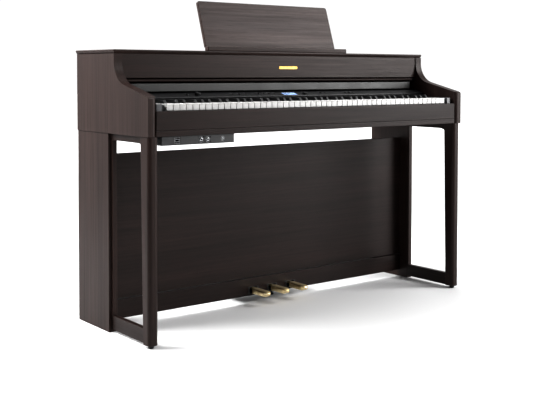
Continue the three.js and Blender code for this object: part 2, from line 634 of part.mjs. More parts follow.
// A pedal seen from above: a narrow neck in its slot, then a wide bar with a round toe.
function pedalPlan(x, front) {
  const half = PEDAL.width / 2;
  const tip = front - PEDAL.reach;
  const rear = PEDAL_PIVOT.y + PEDAL_PIVOT.behind;
  const plan = new THREE.Shape();
  plan.moveTo(x - PEDAL_PIVOT.halfWidth, rear);
  plan.lineTo(x - TOE.neck, front - SKIRT.setback + FIT);
  plan.lineTo(x - half, front - SKIRT.setback);
  plan.lineTo(x - half, tip + TOE.start);
  plan.absarc(x, tip + TOE.centre, TOE.radius, Math.PI - TOE.turn, Math.PI * 2 + TOE.turn, false);
  plan.lineTo(x + half, tip + TOE.start);
  plan.lineTo(x + half, front - SKIRT.setback);
  plan.lineTo(x + TOE.neck, front - SKIRT.setback + FIT);
  plan.lineTo(x + PEDAL_PIVOT.halfWidth, rear);
  return plan;
}

function buildPedals() {
  const { front, thick, top, bottom } = PEDAL_BOARD;
  const board = block(-BETWEEN_LEGS, BETWEEN_LEGS, front, front + thick, bottom, top);
  const centres = [-1, 0, 1].map((n) => n * PEDAL.pitch);
  const slots = centres.map((x) =>
    block(x - SLOT.halfWidth, x + SLOT.halfWidth, front - 5, front + thick + 5, SLOT.bottom, SLOT.top));
  addMesh('pedal_board', cut(board, ...slots), 'rosewood');

  const caseFront = front + thick + FIT;
  const { halfWidth, depth, wall, rearWall, sheet } = CASE;
  const shell = block(-halfWidth, halfWidth, caseFront, caseFront + depth, CASE.bottom, CASE.top);
  const hollow = block(wall - halfWidth, halfWidth - wall, caseFront - 5, caseFront + depth - rearWall,
    CASE.bottom + sheet, CASE.top - sheet);
  const hole = post(ADJUSTER.x, ADJUSTER.y, CASE.bottom - 5, CASE.bottom + sheet + 5,
    ADJUSTER.stem + RUN, 20);
  addMesh('pedal_unit_case', cut(shell, hollow, hole), 'steel');

  ['pedal_soft', 'pedal_sostenuto', 'pedal_damper'].forEach((name, index) => {
    const x = centres[index];
    const under = PEDAL.z - PEDAL.thick / 2;
    const bar = alongZ(pedalPlan(x, front), under - SKIRT.depth, PEDAL.z + PEDAL.thick / 2, 10);
    const behind = PEDAL_PIVOT.y + PEDAL_PIVOT.behind + 5;
    const underNeck = block(x - PEDAL.width, x + PEDAL.width, front - SKIRT.setback, behind,
      under - SKIRT.depth - 5, under);
    addMesh(name, cut(bar, underNeck), 'brass');
  });

  const { disc, rim, neck, stem, stemTop } = ADJUSTER;
  const section = [[0, 0], [disc, 0], [disc, rim], [stem, neck], [stem, stemTop], [0, stemTop]];
  const adjuster = new THREE.LatheGeometry(section.map(([r, h]) => new THREE.Vector2(r, h)), 20);
  addMesh('adjuster_foot', adjuster.rotateX(Math.PI / 2).translate(ADJUSTER.x, ADJUSTER.y, 0), 'rubber');
}

buildCabinet();
buildKeyBed();
buildSpeakers();
buildLid();
buildKeys();
buildKeyChassis();
buildKeyBlocks();
buildControlPanel();
buildMusicRest();
buildElectronics();
buildJackBox();
buildPowerInlet();
buildStand();
buildPedals();

export default piano;
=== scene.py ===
# %% [markdown]
# # A digital piano on its stand
# The instrument is a low cabinet of veneered boards. It holds 88 keys, a control panel and a music rest,
# and it stands on two leg boards, two open leg frames and a board with three brass pedals.
# Each cell makes one piece or one finish. Lengths are in metres. +X is the player's right, +Y the rear and
# +Z up.

# %% Load the frame
import json
import math

import bmesh
import bpy
import numpy as np
from mathutils import Matrix, Vector


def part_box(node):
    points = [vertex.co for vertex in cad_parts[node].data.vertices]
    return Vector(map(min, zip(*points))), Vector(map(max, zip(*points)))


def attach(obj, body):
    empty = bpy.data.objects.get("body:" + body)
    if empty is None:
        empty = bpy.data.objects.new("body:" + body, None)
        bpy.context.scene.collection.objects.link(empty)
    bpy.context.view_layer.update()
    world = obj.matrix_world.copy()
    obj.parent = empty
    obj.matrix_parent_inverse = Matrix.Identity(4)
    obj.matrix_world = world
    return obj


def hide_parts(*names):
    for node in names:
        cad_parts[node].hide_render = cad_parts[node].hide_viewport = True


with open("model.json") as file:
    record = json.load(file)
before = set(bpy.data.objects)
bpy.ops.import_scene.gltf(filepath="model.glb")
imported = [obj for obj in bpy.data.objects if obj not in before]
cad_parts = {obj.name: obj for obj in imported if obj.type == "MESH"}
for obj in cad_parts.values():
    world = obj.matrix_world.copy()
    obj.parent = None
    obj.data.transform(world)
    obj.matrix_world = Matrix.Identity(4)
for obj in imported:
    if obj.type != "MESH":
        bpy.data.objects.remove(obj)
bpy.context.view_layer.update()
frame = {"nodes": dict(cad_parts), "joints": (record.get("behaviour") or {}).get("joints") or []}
MM = 0.001

# %% [markdown]
# ## The camera
# A product is often taken with a level lens that is shifted down, so that the uprights stay upright.
# The camera stands 2.1 m to the left and 2.7 m in front, a little below the top board.
# Its axes are worked out from a yaw and a pitch, and the shift moves the view down without tilting it.

# %% Camera
EYE = np.array([-2.1300, -2.6829, 0.8279])
YAW, PITCH, ROLL = 0.6616, -0.0372, 0.0019
SENSOR, LENS = 36.0, 64.18
SHIFT = (-0.0068, -0.1716)


def camera_axes(yaw, pitch, roll):
    """Right, up and forward of a lens that first looks along +Y, then turns right by yaw, tips up by pitch
    and rolls."""
    forward = np.array([math.sin(yaw) * math.cos(pitch), math.cos(yaw) * math.cos(pitch), math.sin(pitch)])
    right = np.array([math.cos(yaw), -math.sin(yaw), 0.0])
    up = np.cross(right, forward)
    c, s = math.cos(roll), math.sin(roll)
    return c * right + s * up, c * up - s * right, forward


lens = bpy.data.cameras.new("camera")
lens.sensor_width, lens.lens = SENSOR, LENS
lens.shift_x, lens.shift_y = SHIFT
camera = bpy.data.objects.new("camera", lens)
bpy.context.scene.collection.objects.link(camera)
right, up, forward = camera_axes(YAW, PITCH, ROLL)
camera.matrix_world = Matrix.Translation(EYE) @ Matrix(np.stack([right, up, -forward], axis=1)).to_4x4()
bpy.context.scene.camera = camera
print("the lens is", LENS, "mm, and looks along", np.round(forward, 3))

# %% [markdown]
# ## The room
# A pale floor and soft light are enough. The room is white behind the piano and dim in front of it,
# so the dark front boards stay dark. A tall soft box at the front right puts a sheen on the right half.
# A gamma below one deepens the browns without touching the white of the room.

# %% Room light
scene = bpy.context.scene
scene.view_settings.view_transform = "Standard"
scene.view_settings.gamma = 0.76
WHITE = (1.0, 1.0, 1.0, 1.0)
ROOM_BEHIND, ROOM_FRONT = 1.05, 0.04
FADE_START, FADE_END = -0.35, 0.25
LAMPS = {  # place, target, width, height and power in watts
    "key_light": ((3.6, -3.2, 2.5), (0.2, 0.0, 0.8), 2.2, 4.2, 480),
    "top_light": ((0.2, -0.6, 4.2), (0.0, -0.2, 0.0), 4.5, 4.5, 85),
    "left_light": ((-2.1, 1.0, 2.3), (-0.7, 0.0, 0.8), 1.2, 1.4, 175),
    "rear_light": ((-2.5, 2.4, 2.2), (-0.7, 0.0, 0.9), 2.4, 2.0, 50),
}


def room_light(behind, front):
    """A world whose brightness goes smoothly from front, in front of the piano, to behind, at its back. It
    follows the y part of the direction in which the room is seen."""
    world = bpy.data.worlds.new("room")
    world.use_nodes = True
    scene.world = world
    nodes, links = world.node_tree.nodes, world.node_tree.links
    nodes["Background"].inputs["Color"].default_value = WHITE
    direction = nodes.new("ShaderNodeTexCoord")
    split = nodes.new("ShaderNodeSeparateXYZ")
    fade = nodes.new("ShaderNodeMapRange")
    fade.interpolation_type = "SMOOTHSTEP"
    limits = {"From Min": FADE_START, "From Max": FADE_END, "To Min": front, "To Max": behind}
    for name, value in limits.items():
        fade.inputs[name].default_value = value
    links.new(direction.outputs["Generated"], split.inputs[0])
    links.new(split.outputs["Y"], fade.inputs["Value"])
    links.new(fade.outputs["Result"], nodes["Background"].inputs["Strength"])


def soft_box(name, place, target, width, height, power):
    """A rectangular lamp at place that faces target."""
    lamp = bpy.data.lights.new(name, "AREA")
    lamp.shape, lamp.size, lamp.size_y, lamp.energy = "RECTANGLE", width, height, power
    made = bpy.data.objects.new(name, lamp)
    made.location = place
    made.rotation_euler = (Vector(place) - Vector(target)).to_track_quat("Z", "Y").to_euler()
    scene.collection.objects.link(made)


room_light(ROOM_BEHIND, ROOM_FRONT)
for name, lamp in LAMPS.items():
    soft_box(name, *lamp)

# %% [markdown]
# ## Building surfaces from arrays
# A mesh is a list of points and a list of faces. When the points come as a grid, rows by columns,
# every face joins four neighbours, so whole arrays of faces can be written at once.

# %% Grid helpers


def grid_faces(rows, columns):
    """Quads between neighbouring rows and columns. The last column joins the first, which closes a tube."""
    index = np.arange(rows * columns).reshape(rows, columns)
    index = np.concatenate([index, index[:, :1]], axis=1)
    return np.stack([index[:-1, :-1], index[:-1, 1:], index[1:, 1:], index[1:, :-1]], axis=-1).reshape(-1, 4)


def capped(points):
    """A tube of loops (rows of points) as (points, faces), with a flat face over each end."""
    rows, columns = points.shape[:2]
    ring = np.arange(columns)
    ends = [ring[::-1].tolist(), (ring + (rows - 1) * columns).tolist()]
    return points.reshape(-1, 3), grid_faces(rows, columns).tolist() + ends


def together(*shapes):
    """Several (points, faces) as one, by shifting the face numbers of each."""
    points, faces, start = [], [], 0
    for these, those in shapes:
        points.append(these)
        faces += [[start + i for i in face] for face in those]
        start += len(these)
    return np.concatenate(points), faces


print("a tube of 3 loops of 4 points has", len(grid_faces(3, 4)), "faces")

# %% [markdown]
# Every piece is finished the same way: doubles are merged, faces are turned outwards, faces meet smoothly
# unless they meet at a steep angle, and normals are weighted by area so that flat boards look flat.

# %% Make a piece
MERGE = 1e-6
SMOOTH_UP_TO = math.radians(38)


def piece(name, shape, material, body="cabinet", replaces=()):
    """A mesh object from (points, faces) that rides on a CAD body, and may stand for CAD nodes."""
    points, faces = shape
    mesh = bpy.data.meshes.new(name)
    mesh.from_pydata(np.asarray(points).tolist(), [], faces)
    work = bmesh.new()
    work.from_mesh(mesh)
    bmesh.ops.remove_doubles(work, verts=work.verts, dist=MERGE)
    bmesh.ops.dissolve_degenerate(work, edges=work.edges, dist=MERGE)
    bmesh.ops.recalc_face_normals(work, faces=work.faces)
    work.to_mesh(mesh)
    work.free()
    return finished(name, mesh, material, body, replaces)


def finished(name, mesh, material, body, replaces):
    """Links a mesh as an object with its material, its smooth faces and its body."""
    mesh.materials.clear()
    mesh.materials.append(material)
    mesh.shade_smooth()
    mesh.set_sharp_from_angle(angle=SMOOTH_UP_TO)
    made = bpy.data.objects.new(name, mesh)
    scene.collection.objects.link(made)
    weighted = made.modifiers.new("weighted", "WEIGHTED_NORMAL")
    weighted.keep_sharp = True
    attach(made, body)
    if replaces:
        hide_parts(*replaces)
    return made


def count(made):
    """One line on a piece: its name and how many faces it has."""
    print(made.name, "has", len(made.data.polygons), "faces")


# %% [markdown]
# A sawn board never has knife edges. A rolled box is a sphere whose eight parts are pulled apart to the
# corners: each grid point is a corner of a smaller box, plus the roll times the sphere's normal.

# %% Rolled box


def rolled_box(low, high, roll, steps=3):
    """A box whose edges are rolled. Each point is the middle, plus the sign of its eighth of a sphere times
    the inner half size, plus roll times the sphere's normal. The normal is (cos b cos a, cos b sin a, sin b)
    at longitude a and latitude b."""
    low, high = np.asarray(low, float), np.asarray(high, float)
    turn = np.linspace(0, np.pi / 2, steps + 1)
    longitude = np.concatenate([turn + quarter * np.pi / 2 for quarter in range(4)])
    latitude = np.concatenate([turn - np.pi / 2, turn])
    a, b = np.meshgrid(longitude, latitude)
    normal = np.stack([np.cos(b) * np.cos(a), np.cos(b) * np.sin(a), np.sin(b)], axis=-1)
    sign = np.stack(np.broadcast_arrays(
        np.repeat([1, -1, -1, 1], steps + 1)[None, :],
        np.repeat([1, 1, -1, -1], steps + 1)[None, :],
        np.repeat([-1, 1], steps + 1)[:, None]), axis=-1)
    inner = (high - low) / 2 - roll
    points = (low + high) / 2 + sign * inner + roll * normal
    corners = np.arange(4) * (steps + 1)
    rows, columns = points.shape[:2]
    caps = [corners[::-1].tolist(), (corners + (rows - 1) * columns).tolist()]
    return points.reshape(-1, 3), grid_faces(rows, columns).tolist() + caps


def node_box(node):
    """Lowest and highest corner of a CAD node as two arrays."""
    low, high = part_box(node)
    return np.array(low), np.array(high)


print("a rolled box has", len(rolled_box((0, 0, 0), (1, 1, 1), 0.1)[1]), "faces")

# %% [markdown]
# Shaped boards are an outline carried along one axis. Round corners in the outline come from a fillet:
# the arc starts where the corner's two sides are tangent to its circle. At both ends the outline shrinks
# by one minus a sine while it moves by one minus a cosine, which rolls the edges.

# %% Rolled prism


def filleted(corners, radii, steps=4):
    """A closed outline with each corner replaced by an arc. The arc's centre lies on the corner's bisector,
    away from the corner by the radius over the sine of half the angle. The arc runs from one tangent point
    to the other."""
    corners = np.asarray(corners, float)
    radii = np.broadcast_to(np.asarray(radii, float), len(corners))[:, None]
    before = np.roll(corners, 1, axis=0) - corners
    after = np.roll(corners, -1, axis=0) - corners
    before /= np.linalg.norm(before, axis=1, keepdims=True)
    after /= np.linalg.norm(after, axis=1, keepdims=True)
    half = np.arccos(np.clip((before * after).sum(1, keepdims=True), -1, 1)) / 2
    bisector = before + after
    bisector /= np.maximum(np.linalg.norm(bisector, axis=1, keepdims=True), 1e-9)
    centre = corners + bisector * radii / np.sin(half)
    start = corners + before * radii / np.tan(half) - centre
    end = corners + after * radii / np.tan(half) - centre
    first = np.arctan2(start[:, 1], start[:, 0])
    sweep = np.arctan2(end[:, 1], end[:, 0]) - first
    sweep = (sweep + np.pi) % (2 * np.pi) - np.pi
    angle = first[:, None] + sweep[:, None] * np.linspace(0, 1, steps + 1)
    arc = centre[:, None, :] + radii[:, None] * np.stack([np.cos(angle), np.sin(angle)], axis=-1)
    return arc.reshape(-1, 2)


def outward(outline):
    """For each point of a closed outline, how it moves when every side moves out by one: the sum of the two
    sides' normals over one plus their cosine."""
    side = np.roll(outline, -1, axis=0) - outline
    length = np.linalg.norm(side, axis=1, keepdims=True)
    keep = length[:, 0] > 1e-9
    outline, side = outline[keep], (side / np.maximum(length, 1e-12))[keep]
    area = (outline[:, 0] * np.roll(outline[:, 1], -1) - outline[:, 1] * np.roll(outline[:, 0], -1)).sum()
    normal = np.stack([side[:, 1], -side[:, 0]], axis=1) * np.sign(area)
    previous = np.roll(normal, 1, axis=0)
    cosine = (normal * previous).sum(1, keepdims=True)
    return outline, (normal + previous) / np.maximum(1 + cosine, 0.2)


def rolled_prism(outline, low, high, roll, axis=0, steps=3):
    """An outline in the two other axes, in order, carried along an axis from low to high. At both ends it
    shrinks by roll times (1 - sin t) where it has moved by roll times (1 - cos t), for t from zero to a right
    angle."""
    outline, out = outward(np.asarray(outline, float))
    turn = np.linspace(0, np.pi / 2, steps + 1)
    inset = roll * (1 - np.sin(turn))
    along = roll * (1 - np.cos(turn))
    inset = np.concatenate([inset, inset[::-1]])
    place = np.concatenate([low + along, (high - along)[::-1]])
    flat = outline[None] - out[None] * inset[:, None, None]
    points = np.insert(flat, axis, np.broadcast_to(place[:, None], flat.shape[:2]), axis=2)
    return capped(points)


print("a filleted square has", len(filleted([(0, 0), (1, 0), (1, 1), (0, 1)], 0.1)), "points")

# %% [markdown]
# Knobs, feet and rings are turned: a profile of radius and height is carried round an axis.

# %% Turned shapes


def turned(profile, centre, up_axis=(0, 0, 1), across=(1, 0, 0), sides=32, ripple=0.0, ribs=0):
    """A profile of (radius, height) turned round up_axis at centre. A rippled one adds ripple times a cosine
    of ribs times the angle to the radius, as on a knurled knob."""
    radius, height = np.asarray(profile, float).T
    up_axis, across = np.asarray(up_axis, float), np.asarray(across, float)
    other = np.cross(up_axis, across)
    angle = np.linspace(0, 2 * np.pi, sides, endpoint=False)
    wide = radius[:, None] + np.where(radius[:, None] > 1e-6, ripple * np.cos(ribs * angle)[None], 0)
    points = (np.asarray(centre, float) + height[:, None, None] * up_axis
              + wide[..., None] * (np.cos(angle)[:, None] * across + np.sin(angle)[:, None] * other))
    return capped(points)


def ringed(profile, centre, up_axis=(0, 0, 1), across=(1, 0, 0), sides=32):
    """A closed profile of (radius, height) turned into a ring. A point is the centre, plus height times the
    axis, plus radius times the spoke at its angle."""
    radius, height = np.asarray(profile, float).T
    up_axis, across = np.asarray(up_axis, float), np.asarray(across, float)
    other = np.cross(up_axis, across)
    angle = np.linspace(0, 2 * np.pi, sides, endpoint=False)
    spoke = np.cos(angle)[:, None] * across + np.sin(angle)[:, None] * other
    centre = np.asarray(centre, float)
    points = centre + height[None, :, None] * up_axis + radius[None, :, None] * spoke[:, None]
    rows, columns = points.shape[:2]
    looped = np.concatenate([points, points[:1]])
    return looped.reshape(-1, 3), grid_faces(rows + 1, columns).tolist()


print("a plain disc has", len(turned([(0, 0), (1, 0), (1, 1), (0, 1)], (0, 0, 0))[1]), "faces")

# %% [markdown]
# A CAD node with pockets and slots is quickest to soften as a copy: its loose triangles are merged, flat
# neighbours are joined back into whole faces, and a Bevel modifier rounds the edges that are left.

# %% Softened copy
CAD_MERGE = 1e-5
FLAT, EDGE_OVER = math.radians(1), math.radians(40)


def softened(node, material, width, body="cabinet", segments=2):
    """A copy of a CAD node, under its name with _finish, with edges rounded by width."""
    mesh = frame["nodes"][node].data.copy()
    work = bmesh.new()
    work.from_mesh(mesh)
    bmesh.ops.remove_doubles(work, verts=work.verts, dist=CAD_MERGE)
    bmesh.ops.dissolve_limit(work, angle_limit=FLAT, verts=work.verts, edges=work.edges)
    bmesh.ops.recalc_face_normals(work, faces=work.faces)
    work.to_mesh(mesh)
    work.free()
    made = finished(node + "_finish", mesh, material, body, (node,))
    bevel = made.modifiers.new("edges", "BEVEL")
    bevel.width, bevel.segments, bevel.limit_method = width, segments, "ANGLE"
    bevel.angle_limit = EDGE_OVER
    made.modifiers.move(1, 0)  # the edges are rounded before the normals are weighted
    return made


def dress(material, *nodes):
    """Gives CAD nodes a material."""
    for node in nodes:
        mesh = frame["nodes"][node].data
        mesh.materials.clear()
        mesh.materials.append(material)


print("edges steeper than", round(math.degrees(EDGE_OVER)), "degrees are rounded")

# %% [markdown]
# ## Finishes
# A finish is a small tree of nodes. Noise in object coordinates varies the colour, the roughness and a bump,
# so no surface is one flat colour. The helpers below add one node each and return its output.

# %% Node helpers


def new_finish(name, metallic=0.0, ior=1.5, coat=0.0, coat_roughness=0.2):
    """A material, with the shader's constant sockets set."""
    material = bpy.data.materials.new(name)
    material.use_nodes = True
    shader = material.node_tree.nodes["Principled BSDF"]
    shader.inputs["Metallic"].default_value = metallic
    shader.inputs["IOR"].default_value = ior
    shader.inputs["Coat Weight"].default_value = coat
    shader.inputs["Coat Roughness"].default_value = coat_roughness
    return material, shader


def add(material, kind, **sockets):
    """A node with some of its sockets set by name, with underscores for spaces. Each is set to a value or
    linked to another node's output."""
    made = material.node_tree.nodes.new("ShaderNode" + kind)
    for name, value in sockets.items():
        socket = made.inputs[name.replace("_", " ")]
        if isinstance(value, bpy.types.NodeSocket):
            material.node_tree.links.new(value, socket)
        else:
            socket.default_value = value
    return made


def noise(material, scale, detail=4.0, rough=0.5, warp=0.0, offset=(0, 0, 0)):
    """Noise in object coordinates. A scale of three numbers stretches it along the axis of the smallest."""
    where = add(material, "TexCoord").outputs["Object"]
    place = add(material, "Mapping", Vector=where, Location=offset, Scale=scale).outputs["Vector"]
    made = add(material, "TexNoise", Vector=place, Scale=1.0, Detail=detail, Roughness=rough, Distortion=warp)
    return made.outputs["Fac"]


def spread(material, source, low, high, start=0.3, stop=0.7):
    """Source, from start to stop, turned into low to high."""
    made = add(material, "MapRange", Value=source, From_Min=start, From_Max=stop, To_Min=low, To_Max=high)
    return made.outputs["Result"]


def tint(material, source, stops):
    """A colour ramp from (place, red, green, blue) stops."""
    made = add(material, "ValToRGB", Fac=source)
    ramp = made.color_ramp
    for _ in stops[2:]:
        ramp.elements.new(0.5)
    for element, (place, *colour) in zip(ramp.elements, stops):
        element.position = place
        element.color = (*colour, 1.0)
    return made.outputs["Color"]


def blend_colour(material, first, second, amount, mode="MIX"):
    """Two colours mixed by amount."""
    made = material.node_tree.nodes.new("ShaderNodeMix")
    made.data_type, made.blend_type = "RGBA", mode
    for index, value in ((0, amount), (6, first), (7, second)):
        if isinstance(value, bpy.types.NodeSocket):
            material.node_tree.links.new(value, made.inputs[index])
        else:
            made.inputs[index].default_value = value
    return made.outputs[2]


def relief(material, height, depth, strength=0.5, under=None):
    """A bump of that depth in metres, on top of another one."""
    made = add(material, "Bump", Height=height, Distance=depth, Strength=strength)
    if under is not None:
        material.node_tree.links.new(under, made.inputs["Normal"])
    return made.outputs["Normal"]


def connect(material, shader, **outputs):
    """Links outputs to the shader's sockets."""
    for name, value in outputs.items():
        material.node_tree.links.new(value, shader.inputs[name.replace("_", " ")])


print("materials so far:", len(bpy.data.materials))

# %% [markdown]
# ### Rosewood veneer
# The boards wear a dark brown veneer with an open grain: broad bands a few centimetres wide, fine streaks,
# and short dark pores that can be felt. All three are noises stretched along the grain. The same veneer is
# laid in several tones, each with its own grain offset, because no two leaves of a real one match. The rest's
# lighter tone is painted light on its leaning face. The darker tone of the slip, the key bed, the modesty
# panel and the pedal board is painted shade on them. The deep tone of the frame rails is darker too.

# %% Rosewood
BANDS_ALONG, BANDS_ACROSS = 1.2, 16.0
STREAKS_ALONG, STREAKS_ACROSS = 2.2, 2.2 * 4.2
PORES_ALONG, PORES_ACROSS = 22.0, 900.0
WOOD_LEAF = [(0.3, (0.027, 0.0150, 0.0125)), (0.5, (0.035, 0.0200, 0.0170)), (0.72, (0.045, 0.0262, 0.0222))]
STREAK_TINT = [(0.3, 0.55, 0.52, 0.5), (0.55, 1, 1, 1), (0.75, 1.32, 1.3, 1.28)]
PORE_TINT = (0.35, 0.33, 0.32, 1)
GLOSS = 0.22


def rosewood(name, grain, offset, tone):
    """Veneer whose grain runs along one axis. Tone multiplies the colours of the leaf."""
    material, shader = new_finish(name, ior=1.45)
    shader.inputs["Specular IOR Level"].default_value = GLOSS
    across = np.array([axis != grain for axis in "xyz"])
    band_scale = np.where(across, BANDS_ACROSS, BANDS_ALONG)
    streak_scale = band_scale * np.where(across, STREAKS_ACROSS, STREAKS_ALONG)
    pore_scale = np.where(across, PORES_ACROSS, PORES_ALONG)
    bands = noise(material, tuple(band_scale), detail=3, rough=0.5, warp=0.6, offset=offset)
    streaks = noise(material, tuple(streak_scale), detail=5, rough=0.6, warp=0.2, offset=offset)
    pores = noise(material, tuple(pore_scale), detail=2, rough=0.5, offset=offset)
    colour = tint(material, bands, [(place, *(tone * c for c in leaf)) for place, leaf in WOOD_LEAF])
    colour = blend_colour(material, colour, tint(material, streaks, STREAK_TINT), 0.75, "MULTIPLY")
    holes = spread(material, pores, 0.0, 1.0, 0.28, 0.42)
    dark = blend_colour(material, colour, PORE_TINT, 0.8, "MULTIPLY")
    colour = blend_colour(material, dark, colour, holes)
    gloss = spread(material, streaks, 0.46, 0.34)
    bumps = relief(material, holes, 0.00012, 0.5)
    bumps = relief(material, streaks, 0.0002, 0.25, bumps)
    connect(material, shader, Base_Color=colour, Roughness=gloss, Normal=bumps)
    return material


wood_x = rosewood("rosewood_along", "x", (3.1, 0.4, 1.7), 0.72)
# raised tone: painted light on the leaning rest and its ledge
wood_rest_painted_light = rosewood("rosewood_rest_painted_light", "x", (1.3, 6.1, 4.4), 1.05)
# darker tone: painted shade on the slip, the key bed, the modesty panel and the pedal board
wood_x_painted_shade = rosewood("rosewood_along_painted_shade", "x", (9.4, 5.2, 0.3), 0.5)
wood_z = rosewood("rosewood_upright", "z", (0.7, 8.3, 2.9), 0.72)
wood_y = rosewood("rosewood_deep", "y", (5.5, 1.1, 6.4), 0.5)
print("veneers:", [leaf.name for leaf in (wood_x, wood_rest_painted_light, wood_x_painted_shade, wood_z, wood_y)])

# %% [markdown]
# ### Plastics
# Moulded plastic has a spark-eroded texture finer than a tenth of a millimetre, a few faint cloudy patches
# where it has been handled, and a roughness that wanders with them.

# %% Plastics


def moulded(name, colour, rough, texture=1800.0, depth=0.00004, coat=0.0, cloud=0.25):
    """Plastic of one colour, with a fine mould texture and faint handling marks."""
    material, shader = new_finish(name, ior=1.5, coat=coat, coat_roughness=0.08)
    patches = noise(material, (14, 14, 14), 4, 0.6, 0.3, (2.0, 7.0, 1.0))
    grit = noise(material, (texture,) * 3, 2, 0.5)
    low = [c * (1 - cloud) for c in colour]
    high = [min(1.0, c * (1 + cloud * 0.6)) for c in colour]
    connect(material, shader,
            Base_Color=tint(material, patches, [(0.3, *low), (0.5, *colour), (0.72, *high)]),
            Roughness=spread(material, patches, rough * 0.88, min(1.0, rough * 1.14)),
            Normal=relief(material, grit, depth, 0.4))
    return material


black_plastic = moulded("black_plastic", (0.0105, 0.0105, 0.0115), 0.42)
gloss_black = moulded("gloss_black", (0.006, 0.006, 0.0065), 0.16, depth=0.00001, coat=0.4)
fascia_grey = moulded("fascia_grey", (0.024, 0.0235, 0.0225), 0.45)
white_key = moulded("white_key", (0.50, 0.495, 0.487), 0.30, texture=700.0, depth=0.00002, cloud=0.03)
black_key = moulded("black_key", (0.0062, 0.0062, 0.0067), 0.34, texture=900.0, depth=0.00004)
# a mid grey that is a painted reflection of the soft box on the black key blocks' cheeks
painted_sheen_grey = moulded("painted_sheen_grey", (0.085, 0.085, 0.09), 0.35)
rubber = moulded("rubber", (0.011, 0.011, 0.0112), 0.8, texture=600.0, depth=0.0001)
mark_grey = moulded("mark_grey", (0.30, 0.30, 0.31), 0.6, cloud=0.12)
print("plastics are ready")

# %% [markdown]
# ### Metals
# Brass and zinc reflect the room, so their colour sits in the reflection. Polishing leaves hairlines along
# the piece, and fingers leave patches that are a little rougher.

# %% Metals
HAIR_DEPTH = 0.00003


def metal(name, dark, light, rough, lines=(60, 900, 900), coat=0.0):
    """A metal with hairlines stretched along one axis and patches of tarnish. A coat is a clear lacquer."""
    material, shader = new_finish(name, metallic=1.0, coat=coat, coat_roughness=0.12)
    hair = noise(material, lines, 3, 0.6)
    tarnish = noise(material, (45, 45, 45), 4, 0.6, 0.4)
    connect(material, shader,
            Base_Color=tint(material, tarnish, [(0.3, *dark), (0.62, *light)]),
            Roughness=spread(material, tarnish, rough * 1.35, rough * 0.8),
            Normal=relief(material, hair, HAIR_DEPTH, 0.25))
    return material


brass = metal("brass", (0.62, 0.50, 0.27), (0.90, 0.76, 0.47), 0.46, lines=(700, 40, 700), coat=0.6)
old_brass = metal("old_brass", (0.30, 0.20, 0.065), (0.42, 0.29, 0.10), 0.36)
zinc = metal("zinc", (0.36, 0.37, 0.38), (0.58, 0.59, 0.6), 0.36)
dark_steel = metal("dark_steel", (0.05, 0.05, 0.052), (0.09, 0.09, 0.092), 0.42)
print("metals are ready")

# %% [markdown]
# ### Hardboard, circuit board and display
# Dyed hardboard is pressed fibre, mottled and matt. The circuit board is a green lacquer over copper.
# The display is lit from behind, so it gives off a little blue-white light of its own.

# %% Boards and display


def fibre(name, dark, light):
    """Pressed fibre: short mottled specks and a matt, slightly rough face."""
    material, shader = new_finish(name, ior=1.4)
    specks = noise(material, (260, 90, 260), 4, 0.7, 0.6)
    connect(material, shader, Base_Color=tint(material, specks, [(0.3, *dark), (0.7, *light)]),
            Roughness=spread(material, specks, 0.72, 0.92), Normal=relief(material, specks, 0.0003, 0.4))
    return material


def lit_screen(name):
    """A backlit screen that glows evenly, with a faint ripple from its diffuser."""
    material, shader = new_finish(name, ior=1.5, coat=0.6, coat_roughness=0.05)
    ripple = noise(material, (60, 60, 60), 3, 0.5)
    light = tint(material, ripple, [(0.3, 0.16, 0.34, 0.80), (0.6, 0.42, 0.62, 1.0)])
    connect(material, shader, Base_Color=light, Emission_Color=light,
            Roughness=spread(material, ripple, 0.2, 0.3))
    shader.inputs["Emission Strength"].default_value = 0.9
    return material


hardboard = fibre("hardboard", (0.012, 0.0095, 0.0085), (0.030, 0.023, 0.020))
circuit = moulded("circuit", (0.012, 0.09, 0.035), 0.4, texture=300.0, depth=0.00008)
screen_glow = lit_screen("screen_glow")
print("the last finishes are ready")

# %% [markdown]
# ## The cabinet's boards
# The top board, the upper front panel, the slip in front of the keys and the fascia are straight boards with
# rolled edges, and so are the leg boards and the two boards that close the back and the stand.

# %% Straight boards
SOFT = 1.2 * MM


def board(node, material, roll=SOFT):
    """A rolled box the size of a CAD node, which stands for it."""
    low, high = node_box(node)
    made = piece(node + "_board", rolled_box(low, high, roll), material, replaces=(node,))
    count(made)
    return made


board("upper_front_panel", wood_x)
# the slip and the modesty panel take the darker veneer, which is painted shade on them
board("key_slip", wood_x_painted_shade, roll=2.0 * MM)
board("modesty_panel", wood_x_painted_shade)
board("leg_board_left", wood_z)
board("leg_board_right", wood_z)
board("key_well_fascia", fascia_grey)
board("back_board", hardboard, roll=0.6 * MM)

# %% [markdown]
# The top board's edge is cut back underneath, so it looks thinner than it is. A loop of the plan moves in and
# out with height, which is the same idea as the rolled prism with a profile of its own.

# %% Top board
TOP_CORNER = 3 * MM
TOP_PROFILE = [  # inset in millimetres, share of the board's thickness
    (4.6, 0.0), (3.9, 0.1), (3.3, 0.16), (0.6, 0.52), (0.1, 0.6), (0.0, 0.68),
    (0.0, 0.86), (0.25, 0.94), (0.9, 0.99), (1.6, 1.0)]


def edged_slab(low, high, profile, corner):
    """A slab whose plan is a rounded rectangle, moved in by each inset of a profile of (inset, height)."""
    (x0, y0), (x1, y1) = low[:2], high[:2]
    plan, out = outward(filleted([(x0, y0), (x1, y0), (x1, y1), (x0, y1)], corner))
    inset, height = np.asarray(profile, float).T
    flat = plan[None] - out[None] * inset[:, None, None]
    return capped(np.insert(flat, 2, np.broadcast_to(height[:, None], flat.shape[:2]), axis=2))


